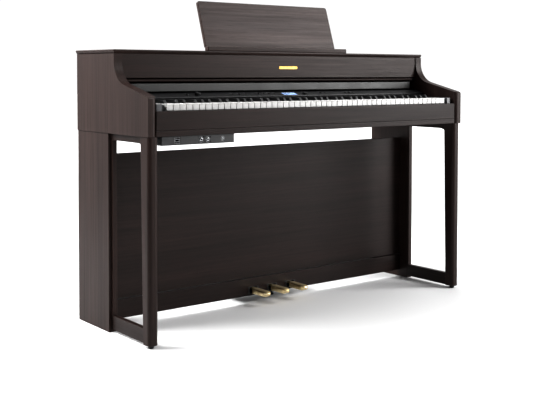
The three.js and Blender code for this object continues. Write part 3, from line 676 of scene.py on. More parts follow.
low, high = node_box("top_board")
profile = [(inset * MM, low[2] + share * (high[2] - low[2])) for inset, share in TOP_PROFILE]
slab = edged_slab(low, high, profile, TOP_CORNER)
count(piece("top_board_slab", slab, wood_x, replaces=("top_board",)))

# %% [markdown]
# The side panels are one board each. The design already has their hollow curve, the slope of the arm and the
# inner front edge rounded by 14 mm, so a softened copy is all they need.

# %% Side panels
for node in ("side_panel_left", "side_panel_right"):
    count(softened(node, wood_z, 1.5 * MM, segments=3))

# %% [markdown]
# The badge is a plain brass plate with round corners, let into the upper front panel.

# %% Badge
BADGE_CORNER = 4 * MM
low, high = node_box("badge_plate")
corners = [(low[0], low[2]), (high[0], low[2]), (high[0], high[2]), (low[0], high[2])]
shape = rolled_prism(filleted(corners, BADGE_CORNER, 5), low[1], high[1], 0.5 * MM, axis=1)
count(piece("badge", shape, old_brass, replaces=("badge_plate",)))

# %% [markdown]
# The key bed is hidden by the slip in front and only its underside shows, where each speaker looks down
# through a round hole behind a grille. Rings of wire are turned, and straight spokes cross them.

# %% Key bed and speaker grilles
WIRE, GRILLE_RADIUS, GRILLE_SINK = 0.9 * MM, 60 * MM, 1.6 * MM
RIM_PROFILE = [(0, -1.6), (7, -1.6), (8, -0.6), (8, 1.4), (0, 1.4)]  # millimetres out from the grille, and up
# the key bed's darker veneer is painted shade on it
softened("key_bed", wood_x_painted_shade, 1.0 * MM)
dress(black_plastic, "speaker_left", "speaker_right")
dress(circuit, "main_circuit_board")


def grille(centre, radius, rings=7, spokes=12):
    """A round grille: rings of square wire evenly spaced out to radius, a rim, and spokes through the middle.
    A spoke is a square loop, half of it across and half of it upward, at both ends of a diameter."""
    up, out_to = np.array([0, 0, 1]), np.linspace(radius / rings, radius, rings)
    section = [(-WIRE, -WIRE), (WIRE, -WIRE), (WIRE, WIRE), (-WIRE, WIRE)]
    shapes = [ringed([(r + a, b) for a, b in section], centre, sides=40) for r in out_to]
    shapes.append(ringed([(radius + a * MM, b * MM) for a, b in RIM_PROFILE], centre, sides=48))
    for angle in np.arange(spokes) * np.pi / spokes:
        along = np.array([math.cos(angle), math.sin(angle), 0])
        across = np.array([-math.sin(angle), math.cos(angle), 0])
        loop = np.array([-across - up, across - up, across + up, -across + up]) * WIRE
        middle = centre + 2 * WIRE * up
        ends = np.array([middle - along * radius, middle + along * radius])
        shapes.append(capped(ends[:, None] + loop[None]))
    return together(*shapes)


for side in ("left", "right"):
    low, high = node_box("speaker_" + side)
    centre = np.array([*(low[:2] + high[:2]) / 2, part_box("key_bed")[0].z - GRILLE_SINK])
    mesh = grille(centre, GRILLE_RADIUS)
    count(piece("speaker_grille_" + side, mesh, black_plastic))

# %% [markdown]
# ## The lid
# The key lid slides out of the cabinet on two channels that slope with the arms. Only its front rail shows:
# a strip of the same veneer over a black panel.

# %% Lid
softened("lid_front_rail", wood_x, 1.2 * MM, body="lid")
softened("lid_panel", gloss_black, 0.8 * MM, body="lid")
softened("lid_rail_left", black_plastic, 0.5 * MM)
softened("lid_rail_right", black_plastic, 0.5 * MM)

# %% [markdown]
# ## The keys
# A white key is a thin cap on a narrower body, with a small overhang at the front. Behind its head it is
# notched for its black neighbours. A black key is a block with a sloping nose that narrows towards its top.
# The letter of a key says which notches it has, so the whole keyboard follows from two small tables.

# %% Key plan
WHITES, KEY_GAP, SINGLE_FIRST, SINGLE_LAST = 52, 1.0 * MM, 26, 29
white_low, white_high = node_box("white_keys")
black_low, black_high = node_box("black_keys")
pitch = (white_high[0] - white_low[0] + KEY_GAP) / WHITES
BLACK_OFFSET = {"A": 3 * MM, "C": -2 * MM, "D": 2 * MM, "F": -3 * MM, "G": 0.0}
BLACK_HALF, NOTCH_HALF = 5.2 * MM, 6.4 * MM
shoulder = black_low[1] - KEY_GAP


def letter(i):
    """The name of white key i, from A in the bass."""
    return "ABCDEFG"[i % 7]


def key_left(i):
    """Left edge of key i's share of the keyboard."""
    return white_low[0] - KEY_GAP / 2 + i * pitch


def has_black(i):
    """Whether a black key stands after white key i."""
    return 0 <= i < WHITES - 1 and letter(i) in BLACK_OFFSET


def black_x(i):
    """Centre of the black key after white key i."""
    return key_left(i + 1) + BLACK_OFFSET[letter(i)]


print("the key pitch is", round(pitch / MM, 2), "mm")

# %% [markdown]
# Each white key is two prisms: a cap with rolled edges, and a body that stands back from it all round. Most
# keys are one run on a common rail, and four from F to B ride on bodies of their own.

# %% White keys
CAP_THICK, CAP_ROLL, OVERHANG = 2.8 * MM, 0.6 * MM, 1.3 * MM
BODY_INSET, BODY_ROLL, KEY_CORNER = 0.5 * MM, 0.3 * MM, 0.8 * MM
RAIL_FRONT, RUN_REAR, RAIL_ROLL = 2.6 * MM, 2.2 * MM, 0.5 * MM


def key_outline(i, rear, inset=0.0, front_inset=0.0):
    """Plan of white key i in (x, y): a head, and a waist between its black neighbours."""
    left, right = key_left(i) + KEY_GAP / 2 + inset, key_left(i + 1) - KEY_GAP / 2 - inset
    waist_left = black_x(i - 1) + NOTCH_HALF + inset if has_black(i - 1) else left
    waist_right = black_x(i) - NOTCH_HALF - inset if has_black(i) else right
    front = white_low[1] + front_inset
    points = [(left, front), (right, front)]
    if waist_right < right:
        points += [(right, shoulder - inset), (waist_right, shoulder - inset)]
    points += [(waist_right, rear), (waist_left, rear)]
    if waist_left > left:
        points += [(waist_left, shoulder - inset), (left, shoulder - inset)]
    return filleted(points, KEY_CORNER, steps=2)


def white_shape(i, rear):
    """Cap and body of white key i."""
    top, split, under = white_high[2], white_high[2] - CAP_THICK, white_low[2]
    cap = rolled_prism(key_outline(i, rear), split, top, CAP_ROLL, axis=2)
    body_plan = key_outline(i, rear, BODY_INSET, OVERHANG)
    return together(cap, rolled_prism(body_plan, under, split, BODY_ROLL, axis=2, steps=1))


singles = range(SINGLE_FIRST, SINGLE_LAST + 1)
joined = [i for i in range(WHITES) if i not in singles]
rail = rolled_box((white_low[0], RAIL_FRONT, white_low[2]), white_high, RAIL_ROLL)
shape = together(rail, *[white_shape(i, RUN_REAR) for i in joined])
count(piece("white_key_run", shape, white_key, "white_keys", ("white_keys",)))
for i in singles:
    node = "key_" + letter(i)
    count(piece(node + "_white", white_shape(i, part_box(node)[1].y), white_key, node, (node,)))

# %% [markdown]
# A black key is its side view carried across the keyboard. The points are then drawn in towards the key's
# middle in proportion to their height, which gives the narrow playing face of a real key.

# %% Black keys
NOSE_RUN, NOSE_DROP, TAIL, TAPER = 7 * MM, 10 * MM, -20 * MM, 0.14
CLEARANCE, BLACK_ROLL = 1.2 * MM, 1.3 * MM
BLACK_CORNERS = np.array([0.5, 0.5, 0.5, 0.5, 0.5, 3.5, 1.5]) * MM


def black_shape(i, rear):
    """Side view in (y, z) carried across black key i. Its half width at height z is the full one, less the
    taper times the share of z between the white keys' top and its own."""
    front, low, top = black_low[1], black_low[2], black_high[2]
    above_whites = white_high[2] + CLEARANCE
    corners = [(front, low), (TAIL, low), (TAIL, above_whites), (rear, above_whites), (rear, top),
               (front + NOSE_RUN, top), (front, top - NOSE_DROP)]
    side = filleted(corners, BLACK_CORNERS, steps=4)
    x = black_x(i)
    points, faces = rolled_prism(side, x - BLACK_HALF, x + BLACK_HALF, BLACK_ROLL)
    rise = np.clip((points[:, 2] - white_high[2]) / (top - white_high[2]), 0, 1)
    points[:, 0] = x + (points[:, 0] - x) * (1 - TAPER * rise)
    return points, faces


rail = rolled_box((black_low[0], RAIL_FRONT, white_high[2] + CLEARANCE), black_high, RAIL_ROLL)
shape = together(rail, *[black_shape(i, RUN_REAR) for i in joined if has_black(i)])
count(piece("black_key_run", shape, black_key, "black_keys", ("black_keys",)))
for node, i in ((f"key_{letter(i)}_sharp", i) for i in singles if has_black(i)):
    shape = black_shape(i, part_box(node)[1].y)
    count(piece(node + "_black", shape, black_key, node, (node,)))

# %% [markdown]
# The key blocks close the keyboard at each end: a black block with a raised cheek, whose grey is a painted
# reflection of the soft box. Under the keys a steel tray carries their pivots.

# %% Key blocks and tray
GROOVE, CHEEK_WIDTH = 13 * MM, 20 * MM
CHEEK_ROLL, STEP_ROLL = 2.4 * MM, 1.0 * MM


def end_block(node, sign, start, stop, front, drop, roll):
    """A block between two distances from the keys, set back by front and down by drop. With no stop it runs
    to the outer end of the node."""
    low, high = node_box(node)
    inner, outer = (low[0], high[0]) if sign > 0 else (high[0], low[0])
    x0, x1 = sorted((inner + sign * start, outer if stop is None else inner + sign * stop))
    return rolled_box((x0, low[1] + front, low[2]), (x1, high[1], high[2] - drop), roll)


for side, sign in (("left", -1), ("right", 1)):
    node = "key_block_" + side
    beside_keys = end_block(node, sign, 0, GROOVE, 6 * MM, 3 * MM, STEP_ROLL)
    beside_arm = end_block(node, sign, GROOVE + CHEEK_WIDTH + 0.4 * MM, None, 8 * MM, 5 * MM, STEP_ROLL)
    steps = together(beside_keys, beside_arm)
    piece(node + "_steps", steps, black_plastic, replaces=(node,))
    # the cheek's grey is a painted reflection of the soft box on the black block
    cheek = end_block(node, sign, GROOVE + 0.3 * MM, GROOVE + CHEEK_WIDTH, 0, 0, CHEEK_ROLL)
    count(piece(node + "_cheek", cheek, painted_sheen_grey))
dress(zinc, "key_chassis")

# %% [markdown]
# ## The control panel
# The panel is a shelf that slopes to the player, with a lip along its front. Its face has a small frame of
# its own: along the keys, up the slope, and out of the face. Everything on it is placed in that frame.

# %% Panel face
panel_low, panel_high = node_box("control_panel")
FRONT_TOP = 746.5 * MM
face_tilt = math.atan2(panel_high[2] - FRONT_TOP, panel_high[1] - panel_low[1])
face_middle = np.array([0, (panel_low[1] + panel_high[1]) / 2, (FRONT_TOP + panel_high[2]) / 2])
face_up = np.array([0, math.cos(face_tilt), math.sin(face_tilt)])
face_out = np.array([0, -math.sin(face_tilt), math.cos(face_tilt)])


def on_face(points):
    """Points given as (along, up the slope, out) in metres, moved onto the panel."""
    points = np.asarray(points, float)
    return face_middle + points[..., :1] * (1, 0, 0) + points[..., 1:2] * face_up + points[..., 2:] * face_out


def face_shape(shape):
    """A (points, faces) shape built flat, moved onto the panel."""
    return on_face(shape[0]), shape[1]


softened("control_panel", black_plastic, 0.9 * MM)
print("the panel slopes", round(math.degrees(face_tilt), 1), "degrees")

# %% [markdown]
# Two knobs turn on the panel. Each has a knurled skirt and a dished top with a pale pointer. The buttons are
# small domes. All of them ride on their own bodies, so they press and turn with the design's joints.

# %% Knobs and buttons
KNOB_BASE, BUTTON_BASE = -4.2 * MM, -2.2 * MM
RIBS, RIB_DEPTH = 32, 0.22 * MM
POINTER_HALF, POINTER_ROLL = 0.5 * MM, 0.2 * MM


def on_panel(node):
    """Where the middle of a node is on the panel, as along and up the slope, and its half width."""
    low, high = node_box(node)
    offset = (low + high) / 2 - face_middle
    return offset[0], float(offset @ face_up), (high[0] - low[0]) / 2


def knob_profile(radius, top):
    """Skirt, rounded shoulder and dished top as (radius, height)."""
    return [(0, KNOB_BASE), (radius - 0.8 * MM, KNOB_BASE), (radius - 0.4 * MM, 0.6 * MM),
            (radius - 0.6 * MM, top - 1.4 * MM), (radius - 1.0 * MM, top - 0.5 * MM),
            (radius - 1.8 * MM, top), (radius - 2.8 * MM, top - 0.1 * MM),
            (radius * 0.45, top - 0.6 * MM), (0, top - 0.7 * MM)]


def knob(node, height):
    """A knurled knob with a pointer that rides with it."""
    x, y, radius = on_panel(node)
    skirt = turned(knob_profile(radius, height), (x, y, 0), sides=3 * RIBS, ripple=RIB_DEPTH, ribs=RIBS)
    count(piece(node + "_cap", face_shape(skirt), black_plastic, node, (node,)))
    pointer = rolled_box((x - POINTER_HALF, y + radius * 0.35, height - 0.8 * MM),
                         (x + POINTER_HALF, y + radius - 2.2 * MM, height + 0.05 * MM), POINTER_ROLL, 2)
    piece(node + "_pointer", face_shape(pointer), mark_grey, node)


def button(node):
    """A low dome on a stem."""
    x, y, radius = on_panel(node)
    dome = [(0, BUTTON_BASE), (radius - 0.2 * MM, BUTTON_BASE), (radius - 0.1 * MM, 1.2 * MM),
            (radius - 0.4 * MM, 2.0 * MM), (radius * 0.75, 2.4 * MM), (radius * 0.4, 2.55 * MM),
            (0, 2.6 * MM)]
    shape = face_shape(turned(dome, (x, y, 0), sides=28))
    piece(node + "_cap", shape, gloss_black, node, (node,))


knob("volume_knob", 9 * MM)
knob("selector_dial", 4.5 * MM)
buttons = sorted(node for node in frame["nodes"] if node.endswith("_button"))
for node in buttons:
    button(node)
print(len(buttons), "buttons are capped")

# %% [markdown]
# The screen is a glowing plate behind a dark bezel. Short bars stand for lines of text, and dots and dashes
# of pale ink mark the controls. None of them says anything.

# %% Display
SCREEN_HALF_Y, BEZEL = 11.7 * MM, 1.2 * MM
BARS = [(-24, 6.5, 16), (-2, 6.5, 10), (-24, 2.0, 30), (-24, -2.5, 22), (6, -2.5, 8), (-24, -7.0, 12)]
BAR_TALL = 2.2


def flat_bar(x, y, under, over, roll):
    """A thin bar from x[0] to x[1] and y[0] to y[1] on the panel, between two heights over its face."""
    return rolled_box((x[0], y[0], under), (x[1], y[1], over), roll, 1)


x, y, half_x = on_panel("display_window")
half_y = SCREEN_HALF_Y
across, upward = (x - half_x - BEZEL, x + half_x + BEZEL), (y - half_y, y + half_y)
sides = [(across, (y - half_y - BEZEL, y - half_y)), (across, (y + half_y, y + half_y + BEZEL)),
         ((x - half_x - BEZEL, x - half_x), upward), ((x + half_x, x + half_x + BEZEL), upward)]
bezel = [flat_bar(*side, -0.2 * MM, 0.5 * MM, 0.15 * MM) for side in sides]
piece("display_bezel", face_shape(together(*bezel)), gloss_black)
bars = [flat_bar((x + left * MM, x + (left + wide) * MM), (y + low * MM, y + (low + BAR_TALL) * MM),
                 -0.35 * MM, -0.12 * MM, 0.05 * MM) for left, low, wide in BARS]
piece("display_bars", face_shape(together(*bars)), gloss_black)
dress(screen_glow, "display_window")
print("the screen is", round(2 * half_x / MM), "mm wide")

# %% [markdown]
# The ink stands six hundredths of a millimetre over the face, which is enough to be seen and not felt. Small
# fixed pads fill the places between the buttons that press.

# %% Marks and touch pads
MARKED = [-430, -392, -248, -220, -193, -138, -116, -94, -69, 66, 142, 262, 280, 298]
DOTTED = [63, 79, 90, -164, 163]
PADS = [-248, -193, -116, -69, 163, 262, 298]
PAD_PROFILE = [(0, -0.3), (3.4, -0.3), (3.2, 0.8), (2.4, 1.2), (0, 1.3)]


def ink(x, y, wide, tall=0.9):
    """A flat mark of ink at (x, y), in millimetres on the panel's face."""
    return flat_bar(((x - wide / 2) * MM, (x + wide / 2) * MM), ((y - tall / 2) * MM, (y + tall / 2) * MM),
                    -0.05 * MM, 0.06 * MM, 0.02 * MM)


marks = [ink(x, 10.5, 9) for x in MARKED] + [ink(x - 2, 13, 5) for x in MARKED[2:]]
marks += [ink(x, 4.5, 1.4, 1.4) for x in DOTTED]
piece("panel_marks", face_shape(together(*marks)), mark_grey)
pads = [turned([(r * MM, h * MM) for r, h in PAD_PROFILE], (x * MM, 0, 0), sides=20) for x in PADS]
count(piece("small_touch_pads", face_shape(together(*pads)), gloss_black))

# %% [markdown]
# ## The music rest
# The rest is a board with round corners that leans back on a steel prop. Its outline is a filleted rectangle
# in the board's own plane, carried through its thickness, then tipped back about its hinge.

# %% Music rest board
REST_LEAN, REST_HALF, REST_FOOT, REST_TALL = math.radians(18.4), 294 * MM, 4 * MM, 174.5 * MM
REST_THICK, REST_BACK, REST_CORNER, REST_ROLL = 12 * MM, 4.5 * MM, 8 * MM, 2.0 * MM
LEAF_HALF, LEAF_TALL, LEAF_ROLL = 30 * MM, 14 * MM, 0.4 * MM
KNUCKLE_PROFILE = [(0, -30), (2.8, -30), (3, -29.8), (3, 29.8), (2.8, 30), (0, 30)]
hinge = np.array(next(j for j in frame["joints"] if j["name"] == "music_rest_fold")["pos_m"])


def leaning(points):
    """Points in the board's frame (along, to the back, up the board), leaned back about the hinge: y becomes
    y cos a + z sin a, and z becomes z cos a - y sin a."""
    c, s = math.cos(REST_LEAN), math.sin(REST_LEAN)
    x, y, z = np.moveaxis(np.asarray(points, float), -1, 0)
    return hinge + np.stack([x, c * y + s * z, c * z - s * y], axis=-1)


corners = [(-REST_HALF, REST_FOOT), (REST_HALF, REST_FOOT), (REST_HALF, REST_TALL), (-REST_HALF, REST_TALL)]
plan = filleted(corners, REST_CORNER, 6)
points, faces = rolled_prism(plan, -REST_BACK - REST_THICK, -REST_BACK, REST_ROLL, axis=1)
shape = leaning(points), faces
# the rest's lighter veneer is painted light on its leaning face
count(piece("music_rest_panel", shape, wood_rest_painted_light, "music_rest", ("music_rest_board",)))
leaf = rolled_box((-LEAF_HALF, -REST_BACK - 0.5 * MM, 0), (LEAF_HALF, -0.5 * MM, LEAF_TALL), LEAF_ROLL, 2)
knuckle = turned([(r * MM, h * MM) for r, h in KNUCKLE_PROFILE], (0, 0, 0), (1, 0, 0), (0, 1, 0), 20)
points, faces = together(leaf, knuckle)
count(piece("music_rest_leaf", (leaning(points), faces), zinc, "music_rest"))

# %% [markdown]
# The ledge that stops sheet music from sliding off is a thick lip in front of a thin shelf. The hinge and the
# folding prop are plain steel, so softened copies do.

# %% Ledge, hinge and prop
LIP_DEPTH, SHELF_THICK, SHELF_INSET, LIP_GAP = 21 * MM, 3 * MM, 26 * MM, 0.2 * MM
low, high = node_box("music_rest_ledge")
lip_rear = low[1] + LIP_DEPTH
lip = rolled_box(low, (high[0], lip_rear, high[2]), 3.0 * MM, 4)
shelf = rolled_box((low[0] + SHELF_INSET, lip_rear + LIP_GAP, low[2]),
                   (high[0] - SHELF_INSET, high[1], low[2] + SHELF_THICK), 0.8 * MM)
shape = together(lip, shelf)
# the lip takes the rest's lighter veneer, which is painted light on it
count(piece("music_rest_lip", shape, wood_rest_painted_light, replaces=("music_rest_ledge",)))
softened("music_rest_hinge", zinc, 0.5 * MM)
softened("music_rest_stay", zinc, 0.6 * MM, body="music_rest_stay")

# %% [markdown]
# ## Under the keys
# A black box holds the sockets. A nickel ring lines each headphone socket, a thin metal shell lines the
# other, and pale outlines are printed round them.

# %% Jack box
softened("jack_box", black_plastic, 1.6 * MM)
for node in ("usb_socket", "phones_socket_left", "phones_socket_right"):
    softened(node, gloss_black, 0.5 * MM)
softened("power_inlet", black_plastic, 1.0 * MM)

# %% [markdown]
# Rings and printed outlines are turned about an axis that points out of the box's front. The square socket
# gets four bars for its shell and four for its outline.

# %% Socket rings and outlines
JACK_RING = [(3.45, -1), (5.6, -1), (5.4, 0.8), (4.2, 1.3), (3.45, 0.9)]  # millimetres from the axis, and out
SMALL_RING = [(1.9, -1), (3.4, -1), (3.2, 0.6), (1.9, 0.8)]
JACK_OUTLINE = [(8.6, -0.1), (9.4, -0.1), (9.4, 0.1), (8.6, 0.1)]
SMALL_OUTLINE = [(6.2, -0.1), (7.0, -0.1), (7.0, 0.1), (6.2, 0.1)]
SQUARE_OUTLINE, SQUARE_SHELL = (9 * MM, 8 * MM, 0.8 * MM), (6.5 * MM, 3.2 * MM, 0.6 * MM)  # half sizes, width
SMALL_JACK_X = -412 * MM
jack_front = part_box("jack_box")[0].y


def facing_ring(profile, centre):
    """A ring round an axis that points to the player, from a profile in millimetres."""
    return ringed([(r * MM, h * MM) for r, h in profile], centre, (0, -1, 0), (1, 0, 0))


def square_ring(x, z, half_x, half_z, width, near, far):
    """Four bars round a rectangle on the box's front."""
    bars = []
    for s in (-1, 1):
        across = sorted((x + s * half_x, x + s * (half_x + width)))
        upward = sorted((z + s * half_z, z + s * (half_z + width)))
        bars.append(rolled_box((across[0], near, z - half_z), (across[1], far, z + half_z), 0.05 * MM, 1))
        bars.append(rolled_box((x - half_x - width, near, upward[0]), (x + half_x + width, far, upward[1]),
                               0.05 * MM, 1))
    return bars


phones = ("phones_socket_left", "phones_socket_right")
centres = [(node_box(node)[0] + node_box(node)[1]) / 2 for node in phones]
jacks = [(centre[0], jack_front, centre[2]) for centre in centres]
small_jack = (SMALL_JACK_X, jack_front, centres[-1][2])
rings = [facing_ring(JACK_RING, jack) for jack in jacks] + [facing_ring(SMALL_RING, small_jack)]
count(piece("socket_rings", together(*rings), zinc))
low, high = node_box("usb_socket")
x, _, z = (low + high) / 2
outlines = [facing_ring(JACK_OUTLINE, jack) for jack in jacks] + [facing_ring(SMALL_OUTLINE, small_jack)]
outlines += square_ring(x, z, *SQUARE_OUTLINE, jack_front - 0.12 * MM, jack_front + 0.1 * MM)
piece("socket_outlines", together(*outlines), mark_grey)
shell = square_ring(x, z, *SQUARE_SHELL, jack_front + 0.4 * MM, jack_front + 1.2 * MM)
count(piece("socket_shell", together(*shell), zinc))

# %% [markdown]
# ## The stand
# Each leg frame is four members, jointed as a cabinetmaker would. A post with a round nose tapers to its
# foot, a rail at the top has a hollow curve into the post, and a bottom rail and a thin stile close it.

# %% Leg frames
POST_TOP, POST_FOOT, POST_NOSE = 49 * MM, 35.5 * MM, 12 * MM
RAIL_UNDER, RAIL_INSET, RAIL_THICK = 612.5 * MM, 10 * MM, 16 * MM
BOTTOM_TOP, CURVE_RISE, CURVE_RUN, STILE = 54 * MM, 20 * MM, 36 * MM, 8 * MM
SLIP, LAP = 0.15 * MM, 2 * MM
FOOT_PROFILE = [(-1.2, 0), (-0.3, 0.6), (0, 1.6)]  # millimetres from the rim, and from the floor


def leg_post(low, high):
    """The post is its rounded plan at each height, with the rear edge drawn in towards the foot. Each point
    moves forward by the depth that is missing at its height, times its share of the way behind the nose."""
    rear = low[1] + POST_TOP
    plan = filleted([(low[0], low[1]), (high[0], low[1]), (high[0], rear), (low[0], rear)],
                    [POST_NOSE, POST_NOSE, 2 * MM, 2 * MM], 8)
    points, faces = rolled_prism(plan, low[2], high[2], 1.5 * MM, axis=2)
    share = (points[:, 2] - low[2]) / (high[2] - low[2])
    depth = POST_FOOT + (POST_TOP - POST_FOOT) * share
    behind = np.clip((points[:, 1] - low[1] - POST_NOSE) / (POST_TOP - POST_NOSE), 0, 1)
    points[:, 1] -= behind * (POST_TOP - depth)
    return points, faces


def leg_rails(low, high, x0, x1):
    """Top rail with its hollow curve, bottom rail and stile, in (y, z). The curve from the post to the rail
    is (1 - t) squared knee + 2 t (1 - t) corner + t squared end."""
    front, rear, top, foot = low[1], high[1], high[2], low[2]
    t = np.linspace(0, 1, 9)[:, None]
    knee = np.array([front + POST_TOP, RAIL_UNDER - CURVE_RISE])
    corner = np.array([front + POST_TOP, RAIL_UNDER])
    end = np.array([front + POST_TOP + CURVE_RUN, RAIL_UNDER])
    curve = (1 - t) ** 2 * knee + 2 * t * (1 - t) * corner + t ** 2 * end
    start = front + POST_TOP + SLIP - LAP
    upper = np.concatenate([[(start, top), (start, knee[1])], curve[1:], [(rear, RAIL_UNDER), (rear, top)]])
    lower = [(front + POST_FOOT - SLIP, foot), (rear, foot),
             (rear, BOTTOM_TOP), (front + POST_FOOT + SLIP, BOTTOM_TOP)]
    upright = [(rear - STILE, BOTTOM_TOP + SLIP), (rear, BOTTOM_TOP + SLIP),
               (rear, RAIL_UNDER - SLIP), (rear - STILE, RAIL_UNDER - SLIP)]
    return [rolled_prism(np.array(o), x0, x1, 0.8 * MM) for o in (upper, lower, upright)]


for side, sign in (("left", -1), ("right", 1)):
    low, high = node_box("leg_frame_" + side)
    outer = high[0] if sign > 0 else low[0]
    x0, x1 = sorted((outer - sign * RAIL_INSET, outer - sign * (RAIL_INSET + RAIL_THICK)))
    upper, lower, upright = leg_rails(low, high, x0, x1)
    node = "leg_frame_" + side
    count(piece(node + "_post", leg_post(low, high), wood_z, replaces=(node,)))
    count(piece(node + "_rails", together(upper, lower), wood_y))
    count(piece(node + "_stile", upright, wood_z))
    node = "front_foot_" + side
    low, high = node_box(node)
    centre, radius, tall = (low + high) / 2, (high[0] - low[0]) / 2, high[2]
    foot = [(0, 0), *((radius + a * MM, h * MM) for a, h in FOOT_PROFILE),
            (radius - 0.6 * MM, tall - 0.6 * MM), (radius - 1.4 * MM, tall), (0, tall)]
    piece(node + "_pad", turned(foot, (centre[0], centre[1], 0)), rubber, replaces=(node,))

# %% [markdown]
# ## The pedals
# The pedals are cast brass. A narrow neck leaves the slot, then the bar widens at a shoulder, its sides turn
# down, and it ends in a round toe. Half width, top and underside are functions of the distance along the bar,
# and each cross section between them is a superellipse, which is a box with soft corners.

# %% Pedals
PEDAL_STATIONS, PEDAL_SECTION = 64, 32
NECK_HALF, PADDLE_HALF, TOE_BULGE, TOE_LONG = 7.6 * MM, 14.3 * MM, 0.6 * MM, 15 * MM
NECK_DEPTH, SHOULDER, SHOULDER_RUN, CROWN = 8 * MM, 8.5 * MM, 3 * MM, 1.4 * MM
TOE_RISE, TOE_DROP, TAIL_RUN, POWER = 5.5 * MM, 3.5 * MM, 3 * MM, 5
PEDALS = ("pedal_soft", "pedal_sostenuto", "pedal_damper")


def smooth(value):
    """Smoothstep: 3 v squared minus 2 v cubed, with v kept between 0 and 1."""
    value = np.clip(value, 0, 1)
    return value * value * (3 - 2 * value)


def pedal_shape(low, high, board_front):
    """Bar along y. Its half width eases from the neck to the paddle at the shoulder and closes as a half
    ellipse at the toe. The underside drops by the depth of the sides at the shoulder. Sections are
    superellipses of power 5 with a slightly crowned top."""
    x, top = (low[0] + high[0]) / 2, high[2]
    shoulder = board_front - SHOULDER
    along = low[1] + (high[1] - low[1]) * (1 - np.cos(np.linspace(0, np.pi, PEDAL_STATIONS))) / 2
    close = np.linspace(shoulder - SHOULDER_RUN - MM, shoulder + MM, 10)
    front = low[1] + TOE_LONG * (1 - np.cos(np.linspace(0, np.pi / 2, 12)))
    y = np.unique(np.round(np.concatenate([along, close, front]), 6))
    neck = smooth((y - shoulder + SHOULDER_RUN) / SHOULDER_RUN)
    half = PADDLE_HALF + (NECK_HALF - PADDLE_HALF) * neck
    half += TOE_BULGE * np.exp(-((y - low[1] - TOE_LONG) / (0.7 * TOE_LONG)) ** 2)
    toe = np.clip((low[1] + TOE_LONG - y) / TOE_LONG, 0, 1)
    tail = np.clip((y - high[1] + TAIL_RUN) / TAIL_RUN, 0, 1)
    closing = np.sqrt(np.clip(1 - toe ** 2, 0, 1) * np.clip(1 - tail ** 2, 0, 1))
    under = low[2] + (top - NECK_DEPTH - low[2]) * neck + TOE_RISE * toe ** 2
    ceiling = top - TOE_DROP * toe ** 2
    middle, tall = (under + ceiling) / 2, (ceiling - under) / 2 * np.sqrt(closing)
    angle = np.linspace(0, 2 * np.pi, PEDAL_SECTION, endpoint=False)
    c, s = np.cos(angle), np.sin(angle)
    across, upward = np.sign(c) * np.abs(c) ** (2 / POWER), np.sign(s) * np.abs(s) ** (2 / POWER)
    crown = CROWN * (across ** 2 * (s > 0))[None] * closing[:, None]
    px = x + (half * closing)[:, None] * across
    pz = middle[:, None] + tall[:, None] * upward - crown
    return capped(np.stack([px, np.broadcast_to(y[:, None], px.shape), pz], axis=-1))


board_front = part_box("pedal_board")[0].y
# the pedal board's darker veneer is painted shade on it
softened("pedal_board", wood_x_painted_shade, 1.0 * MM)
for node in PEDALS:
    low, high = node_box(node)
    count(piece(node + "_bar", pedal_shape(low, high, board_front), brass, node, (node,)))

# %% [markdown]
# Each slot has a black frame. Behind the board a steel case carries the pedals' pivots, and one screw foot
# under the case keeps the board from sagging.

# %% Slots, case and screw foot
SLOT_HALF, SLOT_LOW, SLOT_HIGH = 17 * MM, 34 * MM, 58 * MM
RIM_SIDE, RIM, RIM_LAP, RIM_OUT, RIM_ROLL = 6.5 * MM, 1.6 * MM, 0.6 * MM, 0.9 * MM, 0.3 * MM
WHEEL_PROFILE = [(0, 0), (12.5, 0), (13.6, 0.8), (13.6, 6), (12.6, 7), (6, 8.2), (5, 9)]  # millimetres
WHEEL_RIBS, WHEEL_RIB_DEPTH = 24, 0.12 * MM


def slot_frame(x):
    """Four bars round a slot, a little proud of the board."""
    near, far = board_front - RIM_OUT, board_front + MM
    in_x, low, high = SLOT_HALF - RIM_LAP, SLOT_LOW + RIM_LAP, SLOT_HIGH - RIM_LAP
    out_x = in_x + RIM_SIDE
    return [rolled_box((x - out_x, near, low), (x - in_x, far, high), RIM_ROLL, 2),
            rolled_box((x + in_x, near, low), (x + out_x, far, high), RIM_ROLL, 2),
            rolled_box((x - out_x, near, low - RIM), (x + out_x, far, low), RIM_ROLL, 2),
            rolled_box((x - out_x, near, high), (x + out_x, far, high + RIM), RIM_ROLL, 2)]


frames = []
for node in PEDALS:
    low, high = node_box(node)
    frames += slot_frame((low[0] + high[0]) / 2)
count(piece("pedal_slot_frames", together(*frames), black_plastic))
softened("pedal_unit_case", dark_steel, 1.0 * MM)
low, high = node_box("adjuster_foot")
centre, tip = (low + high) / 2, high[2]
wheel = [(r * MM, h * MM) for r, h in WHEEL_PROFILE]
wheel += [(5 * MM, tip - 0.6 * MM), (4.4 * MM, tip), (0, tip)]
shape = turned(wheel, (centre[0], centre[1], 0), sides=3 * WHEEL_RIBS, ripple=WHEEL_RIB_DEPTH,
               ribs=WHEEL_RIBS)
count(piece("adjuster_wheel", shape, rubber, "adjuster_foot", ("adjuster_foot",)))

# %% [markdown]
# ## Fixings at the back
# The back board is held by pan-head screws, and steel angles tie the modesty panel to the leg boards.

# %% Back board screws
SCREW = [(0, -0.4), (3.6, -0.4), (3.7, 0.4), (3.2, 1.2), (2.2, 1.7), (1.1, 1.8), (0.9, 1.3), (0, 1.2)]
SCREW_EDGE, SCREW_COLUMNS = 14 * MM, 9


def screw(centre):
    """A pan head with a small recess, which faces the rear."""
    return turned([(r * MM, h * MM) for r, h in SCREW], centre, (0, 1, 0), (1, 0, 0), 18)


